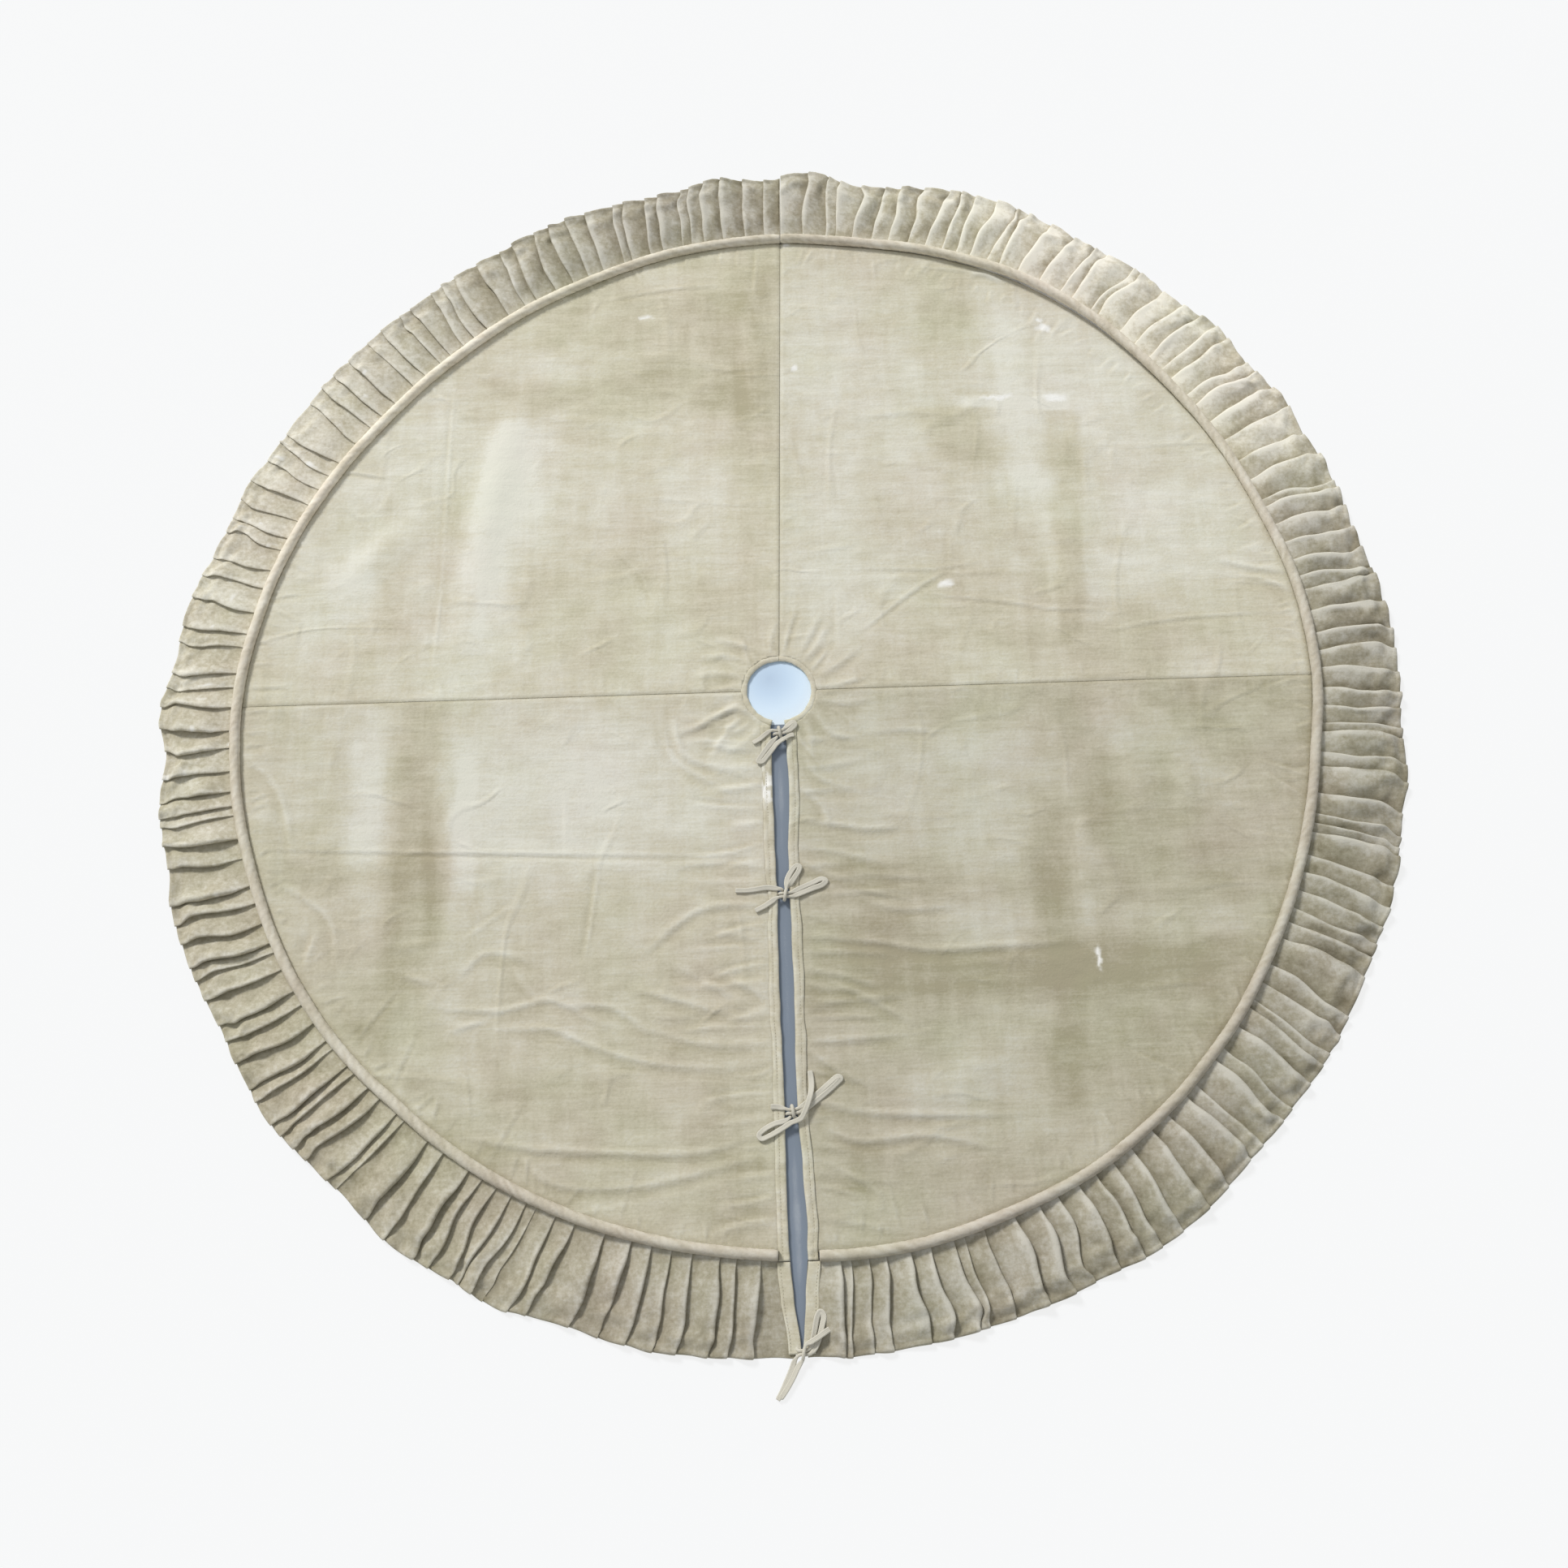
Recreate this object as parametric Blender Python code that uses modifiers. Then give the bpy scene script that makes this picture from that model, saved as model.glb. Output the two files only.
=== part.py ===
"""A round velvet tree skirt, laid flat and tied closed round its trunk hole.

Four velvet quarters are sewn edge to edge over a plain lining. A velvet welt filled with cotton cord
runs round the disc, and a pleated velvet ruffle hangs outside it. The front is slit from the hole to
the ruffle's edge. A binding covers the edge of the hole and of the slit, and four pairs of ties close
the slit with bows. The front quarters fold up and over along the cross seams.

The frame: +Z up, the floor at z = 0, the origin at the middle of the trunk hole, the slit along -Y and
the cross seams along X. Lengths are in metres.
"""

import math

import bmesh
import bpy
from mathutils import Matrix, Vector

MM = 0.001

# The disc, from the middle outwards.
OUTER_RADIUS = 762 * MM
WELT_RING_RADIUS = 662.5 * MM
WELT_DIAMETER = 12 * MM
HOLE_RADIUS = 40 * MM
HOLE_BINDING_WIDTH = 5.5 * MM

# The lay of the cloth, from the floor up.
GAP = 0.3 * MM
LINING_THICKNESS = 0.8 * MM
VELVET_THICKNESS = 2 * MM
BINDING_THICKNESS = 0.8 * MM
RUFFLE_THICKNESS = 2.2 * MM
PANEL_BOTTOM = LINING_THICKNESS + GAP
PANEL_TOP = PANEL_BOTTOM + VELVET_THICKNESS
BINDING_BOTTOM = PANEL_TOP + GAP
BINDING_TOP = BINDING_BOTTOM + BINDING_THICKNESS

# The welt round the disc: a velvet tube with a cotton cord inside it.
WELT_WALL = 1.5 * MM
WELT_CORD_RADIUS = 4.1 * MM
WELT_CORD_INSET = 1 * MM
WELT_END_GAP = 0.4 * MM
WELT_HEIGHT = GAP + WELT_DIAMETER / 2

# The slit's two edges, as distances from the line x = 0. At the ruffle's edge they nearly meet.
SLIT_LEFT = 11 * MM
SLIT_RIGHT = 6 * MM
SLIT_MOUTH = 1.5 * MM
SLIT_BINDING_WIDTH = 12 * MM
SLIT_BINDING_WALL = 1.2 * MM

# The ruffle: knife pleats, flat beside the seams and the slit.
PLEAT_PITCH = 29 * MM
PLEAT_LEAN = 0.72
PLEAT_HEIGHTS = ((0.0, 3 * MM), (0.16, 8.6 * MM), (0.62, 9.4 * MM), (1.0, 8 * MM))
PLEAT_SCALLOP = 3 * MM
SEAM_FLAT = 5 * MM
SLIT_FLAT = 36 * MM
RUFFLE_HEM_WIDTH = 14 * MM
RUFFLE_HEM_THICKNESS = 1.4 * MM
RUFFLE_HEM_INSET = 3 * MM

# Round edges are made of straight pieces, one for each of these steps. The first and the last piece are
# at least NEAREST_TO_END of a step long.
ARC_STEP = math.radians(5)
HOLE_ARC_STEP = math.radians(10)
NEAREST_TO_END = 0.3

TIE_RADIUS = 1.8 * MM
TIE_STEPS = 2

# Where the slit and the rear seam lie, counter-clockwise from +X. The rear seam is two degrees off square.
SLIT_ANGLE = math.radians(270)
REAR_SEAM_ANGLE = math.radians(88)

VELVET_COLOUR = (0.56, 0.50, 0.37, 1)
LINING_COLOUR = (0.72, 0.68, 0.57, 1)
CORD_COLOUR = (0.80, 0.77, 0.68, 1)
TIE_COLOUR = (0.66, 0.61, 0.49, 1)


class Quarter:
    """A quarter of the skirt: its two end angles, and how far its edge lies from each end's radial line."""

    def __init__(self, name, start, end, start_edge=GAP / 2, end_edge=GAP / 2):
        self.name = name
        self.start = start
        self.end = end
        self.start_edge = start_edge
        self.end_edge = end_edge

    def ends(self, radius, more_at_slit=0.0, more_at_seams=0.0, slit_edge=None):
        """The two end angles at this radius. The first two widths are added, and slit_edge sets the slit's."""
        angles = []
        for angle, edge, sign in ((self.start, self.start_edge, 1), (self.end, self.end_edge, -1)):
            if edge > GAP:
                edge = (edge if slit_edge is None else slit_edge) + more_at_slit
            else:
                edge += more_at_seams
            angles.append(angle + sign * math.asin(edge / radius))
        return angles

    def arc(self, radius, step, **slit):
        """Points along the quarter at this radius, counter-clockwise: its two ends and each whole step between."""
        start, end = self.ends(radius, **slit)
        first = math.ceil(start / step + NEAREST_TO_END)
        last = math.floor(end / step - NEAREST_TO_END)
        angles = [start, *(step * i for i in range(first, last + 1)), end]
        return [Vector((radius * math.cos(a), radius * math.sin(a), 0)) for a in angles]


QUARTERS = (
    Quarter("front_right", SLIT_ANGLE, math.tau, start_edge=SLIT_RIGHT),
    Quarter("rear_right", 0, REAR_SEAM_ANGLE),
    Quarter("rear_left", REAR_SEAM_ANGLE, math.pi),
    Quarter("front_left", math.pi, SLIT_ANGLE, end_edge=SLIT_LEFT),
)

# The bows, in millimetres. Across runs from the left slit edge to the right one and along runs towards
# the rear, both from the knot, and height is above the floor. CORE_OUT and CORE_BACK are the two strands
# of the left tie inside the knot, and WRAP is the right tie's turn round them.
CORE_OUT = ((-3, -2.1, 6.0), (3, -2.1, 6.0))
CORE_BACK = ((3.5, 2.1, 6.0), (-3.5, 2.1, 6.0))
LEFT_LEAD = ((-6.4, -2.2, 2.2), (-5.7, -2.2, 4.1), (-4.6, -2.1, 5.5))
RIGHT_LEAD = ((6.4, -9.6, 2.2), (5.8, -9.1, 4.2), (4.4, -7.9, 5.9))
WRAP = (
    (2.4, -6.4, 6.8), (1.8, -4.5, 9.2), (1.0, 0, 10.6), (0.4, 4.5, 9.2), (-0.1, 6.5, 6.0),
    (-0.7, 4.4, 2.8), (-1.2, 0, 2.0), (-1.8, -4.4, 2.7), (-2.6, -6.8, 5.4),
)


def mirrored(points):
    """The same points on the other side of the knot, so that a bow lies the other way up."""
    return tuple((across, -along, height) for across, along, height in points)


BOWS = (
    {
        "knot": (-2.5, -56),
        "left": (
            *LEFT_LEAD, *CORE_OUT,
            (9, -0.5, 6.4), (16, 4, 6.4), (20.5, 9.5, 6.4), (18, 12.5, 6.4), (13, 9.5, 6.4), (7.5, 4.6, 6.4),
            *CORE_BACK,
            (-9, 2.2, 6.4), (-15, -1.5, 6.4), (-23, -8, 6.2), (-32, -13, 5.6),
        ),
        "right": (
            *RIGHT_LEAD, *WRAP,
            (-8, -12, 6.6), (-16, -22, 6.5), (-24, -33, 6.4), (-26, -37.5, 6.4), (-21.5, -38, 6.4),
            (-15, -31, 6.5), (-8, -22, 6.6), (-3, -15.8, 7.2), (3, -12, 9.6), (8, -9, 8.8),
            (14, -5, 6.8), (19, -4, 6.4),
        ),
    },
    {
        "knot": (-2.5, -262),
        "left": (
            *mirrored(LEFT_LEAD), *mirrored(CORE_OUT),
            (9, 3.2, 6.4), (20, 8, 6.4), (34, 14, 5.8), (45, 18.5, 5.4), (50, 16, 5.4), (46, 11.5, 5.4),
            (34, 7, 5.8), (20, 1.5, 6.4), (10, -1.8, 6.4),
            *mirrored(CORE_BACK),
            (-9, -3.5, 6.5), (-16, -8, 6.5), (-25, -13.5, 6.3), (-35, -18, 5.6),
        ),
        "right": (
            (6.2, 9.6, 2.2), (5.9, 10.6, 4.8), (8.5, 14.5, 6.7), (13, 21, 6.6), (18, 29, 6.5),
            (19.5, 34, 6.4), (15.5, 35.5, 6.4), (9.5, 29, 6.5), (4.5, 20, 6.8), (2.8, 12, 6.9),
            *mirrored(WRAP),
            (-9, 8, 6.4), (-20, 9.5, 6.4), (-34, 8, 5.6), (-46, 7, 5.4), (-58, 7.5, 5.4),
        ),
    },
    {
        "knot": (-2.5, -514),
        "left": (
            *LEFT_LEAD, *CORE_OUT,
            (10, -0.7, 6.4), (24, 8, 6.4), (40, 20, 5.6), (53, 31, 5.4), (57, 35.5, 5.4), (53.5, 37.5, 5.4),
            (43, 30, 5.5), (30, 19, 5.9), (16, 8.2, 6.4), (8.5, 3.8, 6.4),
            *CORE_BACK,
            (-9, 3.5, 6.4), (-16, 5.5, 6.4), (-24, 6, 6.4),
        ),
        "right": (
            *RIGHT_LEAD, *WRAP,
            (-9, -10.5, 6.5), (-20, -13, 6.5), (-32, -19, 6.1), (-38, -25, 5.4), (-35.5, -29, 5.4),
            (-27, -26.5, 6.1), (-16, -21, 6.6), (-7, -15.8, 6.8), (-1, -12.6, 8.0), (4.5, -11, 9.4),
            (10, -8.4, 9.6), (14.5, -1, 10.7), (18, 7, 10.8), (21, 16, 10.6), (23, 26, 8.2),
            (23, 36, 6.0), (22, 45, 5.4),
        ),
    },
    {
        "knot": (0, -769.5),
        "left": (
            (-6, 7.0, 2.0), (-5.9, 4.4, 3.5), (-4.8, 2.6, 5.2), *mirrored(CORE_OUT),
            (7.5, 4.2, 6.3), (11, 12, 6.4), (14, 24, 6.4), (17, 36, 6.4), (20.5, 41, 6.4), (24, 37.5, 6.4),
            (22, 27, 6.4), (18, 14, 6.4), (13, 3.5, 6.4), (8, -1.2, 6.2),
            *mirrored(CORE_BACK),
            (-8, -6, 5.0), (-13, -15, 3.2), (-19, -27, 2.2), (-26, -38, 2.1), (-31, -46, 2.1),
        ),
        "right": (
            (30, 23, 6.4), (24, 19.5, 9.4), (17, 15, 10.8), (9, 10.5, 10.6), (4.6, 8.6, 9.6),
            (2.4, 5.4, 9.6), (1.0, 0, 10.6), (0.4, -4.5, 9.2), (-0.4, -7.4, 6.2),
            (-4, -14, 4.2), (-10, -26, 2.4), (-17, -37, 2.1), (-24, -46, 2.1),
        ),
    },
)


def clear_scene():
    """Removes what the file opened with."""
    for thing in list(bpy.data.objects):
        bpy.data.objects.remove(thing)


def new_material(name, colour, roughness):
    """A cloth material of one colour."""
    made = bpy.data.materials.new(name)
    made.use_nodes = True
    shader = made.node_tree.nodes["Principled BSDF"]
    shader.inputs["Base Color"].default_value = colour
    shader.inputs["Roughness"].default_value = roughness
    return made


def add_object(name, data, material, height=0.0):
    """Links an object to the skirt's collection."""
    made = bpy.data.objects.new(name, data)
    made.location.z = height
    data.materials.append(material)
    bpy.data.collections["tree_skirt"].objects.link(made)
    return made


def poly_curve(name, points, closed=False, flat=False):
    """A curve of straight pieces through the points."""
    curve = bpy.data.curves.new(name, "CURVE")
    curve.dimensions = "2D" if flat else "3D"
    spline = curve.splines.new("POLY")
    spline.points.add(len(points) - 1)
    for target, point in zip(spline.points, points):
        target.co = (*point, 1)
    spline.use_cyclic_u = closed
    return curve


def flat_piece(name, outline, bottom, thickness, material):
    """A flat piece of cloth with this outline."""
    curve = poly_curve(name, outline, closed=True, flat=True)
    curve.fill_mode = "BOTH"
    curve.extrude = thickness / 2
    return add_object(name, curve, material, bottom + thickness / 2)


def round_tube(name, points, radius, material, capped=True):
    """A round tube along the points, with eight sides."""
    curve = poly_curve(name, points)
    curve.bevel_depth = radius
    curve.bevel_resolution = 2
    curve.use_fill_caps = capped
    return add_object(name, curve, material)


def sector(quarter, inner, outer, inner_step=ARC_STEP, **slit):
    """The outline of a quarter ring between two radii."""
    outside = quarter.arc(outer, ARC_STEP, **slit)
    inside = quarter.arc(inner, inner_step, **slit)
    return outside + inside[::-1]


def build_disc(quarter, velvet, lining):
    """The velvet panel and the lining under it."""
    inner = HOLE_RADIUS + HOLE_BINDING_WIDTH + GAP
    outer = WELT_RING_RADIUS - WELT_DIAMETER / 2 - GAP
    outline = sector(quarter, inner, outer, HOLE_ARC_STEP, more_at_slit=SLIT_BINDING_WALL + GAP)
    flat_piece(f"velvet_{quarter.name}", outline, PANEL_BOTTOM, VELVET_THICKNESS, velvet)
    flat_piece(f"lining_{quarter.name}", outline, 0, LINING_THICKNESS, lining)


def joined(name, quarters):
    """Neighbouring quarters as one, for a piece that runs on across the seam between them."""
    first, last = quarters[0], quarters[-1]
    return Quarter(name, first.start, last.end, first.start_edge, last.end_edge)


def build_welt(quarter, velvet, cotton):
    """The welt's velvet cover, an open tube, and the cotton cord that fills it."""
    covered = SLIT_BINDING_WIDTH + GAP + WELT_END_GAP
    line = quarter.arc(WELT_RING_RADIUS, ARC_STEP, more_at_slit=covered, more_at_seams=WELT_END_GAP)
    raised = [point + Vector((0, 0, WELT_HEIGHT)) for point in line]
    cover = round_tube(f"welt_cover_{quarter.name}", raised, WELT_DIAMETER / 2, velvet, capped=False)
    wall = cover.modifiers.new("wall", "SOLIDIFY")
    wall.thickness = WELT_WALL
    wall.offset = -1
    inset = [*raised]
    for end, beside in ((0, 1), (-1, -2)):
        inset[end] = raised[end] + (raised[beside] - raised[end]).normalized() * WELT_CORD_INSET
    round_tube(f"welt_cord_{quarter.name}", inset, WELT_CORD_RADIUS, cotton)


def pleat_height(share_across):
    """How high a pleat's ridge stands, from 0 at the welt to 1 at the ruffle's edge."""
    for (before, low), (after, high) in zip(PLEAT_HEIGHTS, PLEAT_HEIGHTS[1:]):
        if share_across <= after:
            return low + (high - low) * (share_across - before) / (after - before)
    return PLEAT_HEIGHTS[-1][1]


def ruffle_columns(quarter):
    """Where the ruffle's folds lie: (share of the quarter's arc, whether it is a ridge)."""
    inner = WELT_RING_RADIUS + WELT_DIAMETER / 2 + GAP
    start, end = quarter.ends(inner)
    length = (end - start) * inner
    first = (SLIT_FLAT if quarter.start_edge > GAP else SEAM_FLAT) / length
    last = 1 - (SLIT_FLAT if quarter.end_edge > GAP else SEAM_FLAT) / length
    count = round((last - first) * length / PLEAT_PITCH)
    columns = [(0, False), (first, False)]
    for i in range(count):
        columns.append((first + (last - first) * (i + PLEAT_LEAN) / count, True))
        columns.append((first + (last - first) * (i + 1) / count, False))
    columns.append((1, False))
    return columns


def build_ruffle(quarter, velvet):
    """The ruffle of one quarter: a sheet in knife pleats, given its thickness upwards."""
    inner = WELT_RING_RADIUS + WELT_DIAMETER / 2 + GAP
    columns = ruffle_columns(quarter)
    rows = [share for share, _ in PLEAT_HEIGHTS]
    sheet = bmesh.new()
    bmesh.ops.create_grid(sheet, x_segments=len(columns) - 1, y_segments=len(rows) - 1, size=1)
    sheet.verts.ensure_lookup_table()
    for number, vertex in enumerate(sheet.verts):
        row, column = divmod(number, len(columns))
        share, ridge = columns[column]
        radius = inner + (OUTER_RADIUS - inner) * rows[row]
        if not ridge:
            radius -= PLEAT_SCALLOP * rows[row] ** 4
        mouth = 1 - rows[row]
        wide = SLIT_LEFT if quarter.end_edge > GAP else SLIT_RIGHT
        start, end = quarter.ends(radius, slit_edge=SLIT_MOUTH + (wide - SLIT_MOUTH) * mouth)
        angle = start + (end - start) * share
        height = pleat_height(rows[row]) if ridge else 0
        vertex.co = (radius * math.cos(angle), radius * math.sin(angle), height)
    bmesh.ops.recalc_face_normals(sheet, faces=sheet.faces)
    if sum(face.normal.z for face in sheet.faces) < 0:
        bmesh.ops.reverse_faces(sheet, faces=sheet.faces)
    mesh = bpy.data.meshes.new(f"ruffle_{quarter.name}")
    sheet.to_mesh(mesh)
    sheet.free()
    ruffle = add_object(f"ruffle_{quarter.name}", mesh, velvet)
    cloth = ruffle.modifiers.new("cloth", "SOLIDIFY")
    cloth.thickness = RUFFLE_THICKNESS
    cloth.offset = 1


def build_ruffle_hem(side, wide, velvet):
    """The turned hem on the ruffle's end beside the slit. side is -1 on the left and 1 on the right."""
    inner = WELT_RING_RADIUS + WELT_DIAMETER / 2 + GAP + RUFFLE_HEM_INSET
    outer = OUTER_RADIUS - PLEAT_SCALLOP - RUFFLE_HEM_INSET
    edge_in, edge_out = wide, SLIT_MOUTH + GAP
    corners = ((edge_in, -inner), (edge_in + RUFFLE_HEM_WIDTH, -inner),
               (edge_out + RUFFLE_HEM_WIDTH, -outer), (edge_out, -outer))
    outline = [Vector((side * across, along, 0)) for across, along in corners]
    name = "ruffle_hem_left" if side < 0 else "ruffle_hem_right"
    flat_piece(name, outline, RUFFLE_THICKNESS + GAP, RUFFLE_HEM_THICKNESS, velvet)


def build_slit_binding(side, edge, velvet):
    """The binding along one edge of the slit: a leaf on the velvet, and a wall down to the floor."""
    first = HOLE_RADIUS + HOLE_BINDING_WIDTH + GAP
    last = WELT_RING_RADIUS + WELT_DIAMETER / 2 - GAP
    leaf = edge + SLIT_BINDING_WIDTH
    wall = edge + SLIT_BINDING_WALL
    section = ((edge, 0), (wall, 0), (wall, BINDING_BOTTOM), (leaf, BINDING_BOTTOM), (leaf, BINDING_TOP),
               (edge, BINDING_TOP))
    name = "slit_binding_left" if side < 0 else "slit_binding_right"
    curve = poly_curve(name, [Vector((side * across, up, 0)) for across, up in section], True, True)
    curve.fill_mode = "BOTH"
    curve.extrude = (last - first) / 2
    binding = add_object(name, curve, velvet)
    binding.rotation_euler.x = math.radians(90)
    binding.location.y = -(first + last) / 2


def build_hole_binding(quarter, velvet):
    """The binding round the trunk hole."""
    outer = HOLE_RADIUS + HOLE_BINDING_WIDTH
    outline = quarter.arc(outer, HOLE_ARC_STEP) + quarter.arc(HOLE_RADIUS, HOLE_ARC_STEP)[::-1]
    flat_piece(f"hole_binding_{quarter.name}", outline, 0, BINDING_TOP, velvet)


def smooth_route(points, steps):
    """A smooth curve through the points (centripetal Catmull-Rom), read at this many steps a stretch."""
    ends = [points[0] * 2 - points[1], *points, points[-1] * 2 - points[-2]]
    route = []
    for p0, p1, p2, p3 in zip(ends, ends[1:], ends[2:], ends[3:]):
        t1 = math.sqrt((p1 - p0).length)
        t2 = t1 + math.sqrt((p2 - p1).length)
        t3 = t2 + math.sqrt((p3 - p2).length)
        for step in range(steps):
            t = t1 + (t2 - t1) * step / steps
            a1 = p0.lerp(p1, t / t1)
            a2 = p1.lerp(p2, (t - t1) / (t2 - t1))
            a3 = p2.lerp(p3, (t - t2) / (t3 - t2))
            b1 = a1.lerp(a2, t / t2)
            b2 = a2.lerp(a3, (t - t1) / (t3 - t1))
            route.append(b1.lerp(b2, (t - t1) / (t2 - t1)))
    return [*route, points[-1]]


def build_ties(cloth):
    """The eight ties, two to a bow."""
    for number, bow in enumerate(BOWS, start=1):
        place = Matrix.Translation((bow["knot"][0] * MM, bow["knot"][1] * MM, 0))
        for side in ("left", "right"):
            points = [place @ (Vector(point) * MM) for point in bow[side]]
            round_tube(f"tie_{number}_{side}", smooth_route(points, TIE_STEPS), TIE_RADIUS, cloth)


def main():
    clear_scene()
    bpy.context.scene.collection.children.link(bpy.data.collections.new("tree_skirt"))
    velvet = new_material("velvet", VELVET_COLOUR, 0.85)
    lining = new_material("lining", LINING_COLOUR, 0.8)
    cotton = new_material("cotton_cord", CORD_COLOUR, 0.9)
    tape = new_material("tie_cloth", TIE_COLOUR, 0.8)
    for quarter in QUARTERS:
        build_disc(quarter, velvet, lining)
        build_ruffle(quarter, velvet)
    front_right, *rear, front_left = QUARTERS
    for run in (front_right, joined("rear", rear), front_left):
        build_welt(run, velvet, cotton)
        build_hole_binding(run, velvet)
    for side, edge in ((-1, SLIT_LEFT), (1, SLIT_RIGHT)):
        build_slit_binding(side, edge, velvet)
        build_ruffle_hem(side, edge, velvet)
    build_ties(tape)


main()
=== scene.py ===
"""The looks of a round velvet tree skirt, laid flat and tied closed round its trunk hole.

Four velvet quarters over a cotton lining, a corded welt, a pleated ruffle, bound edges at the slit and the
hole, and four bows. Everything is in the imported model's frame: +Z up, the floor at z = 0, the origin at
the middle of the trunk hole and the slit along -Y. Shapes are worked out in millimetres, and a mesh holds
metres.
"""

import logging
import math
from collections.abc import Sequence
from dataclasses import dataclass, field
from enum import Enum

import bmesh
import bpy
import numpy as np
from mathutils import Matrix, Vector


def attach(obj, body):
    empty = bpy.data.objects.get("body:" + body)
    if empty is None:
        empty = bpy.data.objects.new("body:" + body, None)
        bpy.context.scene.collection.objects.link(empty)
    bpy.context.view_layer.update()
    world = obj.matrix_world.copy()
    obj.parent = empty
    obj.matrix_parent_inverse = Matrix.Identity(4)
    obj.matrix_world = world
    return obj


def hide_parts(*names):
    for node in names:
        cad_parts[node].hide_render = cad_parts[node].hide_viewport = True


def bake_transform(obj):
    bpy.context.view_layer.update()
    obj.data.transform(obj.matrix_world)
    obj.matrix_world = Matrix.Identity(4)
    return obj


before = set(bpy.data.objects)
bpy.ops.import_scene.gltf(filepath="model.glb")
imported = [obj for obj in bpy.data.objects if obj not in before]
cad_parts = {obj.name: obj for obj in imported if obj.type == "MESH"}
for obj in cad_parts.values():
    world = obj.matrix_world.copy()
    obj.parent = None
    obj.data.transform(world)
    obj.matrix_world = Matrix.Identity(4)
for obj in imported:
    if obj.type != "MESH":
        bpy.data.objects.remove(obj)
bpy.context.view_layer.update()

MM = 0.001

# Radii and heights of the CAD model that the cloth has to meet, in millimetres.
HOLE_RADIUS = 40.0
HOLE_BINDING_OUTER = 45.5
PANEL_INNER = 45.8
PANEL_OUTER = 658.6
WELT_RING_RADIUS = 662.5
WELT_RADIUS = 6.4
WELT_HEIGHT = 6.6
RUFFLE_WIDTH = 96.0
VELVET_TOP = 3.1
REAR_SEAM = math.radians(88)
SLIT = math.radians(270)

Array = np.ndarray


class Body(Enum):
    """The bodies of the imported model."""

    REAR = "rear_half"
    LEFT = "front_left_quarter"
    RIGHT = "front_right_quarter"


class Slot(Enum):
    """The record's material slots."""

    VELVET = "velvet"
    LINING = "lining"
    CORD = "cotton_cord"
    TIE = "tie_cloth"


# ---------------------------------------------------------------- numbers


def smoothstep(low: float, high: float, value: Array) -> Array:
    """A smooth rise from 0 at low to 1 at high."""
    share = np.clip((value - low) / (high - low), 0, 1)
    return share * share * (3 - 2 * share)


def lattice_noise(x: Array, y: Array, cell_x: float, cell_y: float, seed: int) -> Array:
    """Smooth noise from about -1 to 1 on a lattice of random values.

    Args:
        x: First coordinate of each point.
        y: Second coordinate of each point.
        cell_x: Lattice spacing along x.
        cell_y: Lattice spacing along y.
        seed: Picks the lattice.

    Returns:
        One value a point.
    """
    size = 256
    values = np.random.default_rng(seed).uniform(-1, 1, (size, size))
    u, v = np.asarray(x) / cell_x + 1000.37, np.asarray(y) / cell_y + 1000.71
    i, j = np.floor(u).astype(int), np.floor(v).astype(int)
    s, t = u - i, v - j
    s, t = s * s * (3 - 2 * s), t * t * (3 - 2 * t)
    i0, j0, i1, j1 = i % size, j % size, (i + 1) % size, (j + 1) % size
    low = values[i0, j0] * (1 - s) + values[i1, j0] * s
    high = values[i0, j1] * (1 - s) + values[i1, j1] * s
    return low * (1 - t) + high * t


def smooth_line(points: Sequence[Sequence[float]], steps: int) -> Array:
    """A smooth curve through the points (centripetal Catmull-Rom), as the CAD model's ties have.

    Args:
        points: The points, of two or three coordinates.
        steps: How many points to make for each stretch between two given points.

    Returns:
        The curve's points as rows.
    """
    known = [np.array(p, float) for p in points]
    ends = [2 * known[0] - known[1], *known, 2 * known[-1] - known[-2]]
    made = []
    for p0, p1, p2, p3 in zip(ends, ends[1:], ends[2:], ends[3:]):
        t1 = math.sqrt(np.linalg.norm(p1 - p0))
        t2 = t1 + math.sqrt(np.linalg.norm(p2 - p1))
        t3 = t2 + math.sqrt(np.linalg.norm(p3 - p2))
        for step in range(steps):
            t = t1 + (t2 - t1) * step / steps
            a1 = p0 + (p1 - p0) * t / t1
            a2 = p1 + (p2 - p1) * (t - t1) / (t2 - t1)
            a3 = p2 + (p3 - p2) * (t - t2) / (t3 - t2)
            b1 = a1 + (a2 - a1) * t / t2
            b2 = a2 + (a3 - a2) * (t - t1) / (t3 - t1)
            made.append(b1 + (b2 - b1) * (t - t1) / (t2 - t1))
    return np.array([*made, known[-1]])


def respaced(line: Array, spacing: float) -> Array:
    """The same line with its points an even distance apart."""
    steps = np.linalg.norm(np.diff(line, axis=0), axis=1)
    run = np.concatenate([[0], np.cumsum(steps)])
    at = np.linspace(0, run[-1], max(2, round(run[-1] / spacing) + 1))
    return np.stack([np.interp(at, run, line[:, k]) for k in range(line.shape[1])], axis=1)


def along_table(table: Sequence[Sequence[float]], at: Array) -> Array:
    """A smooth curve through a table of (place, value), read at these places."""
    curve = smooth_line(table, 12)
    return np.interp(at, curve[:, 0], curve[:, 1])


# ---------------------------------------------------------------- the skirt's outline

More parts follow.
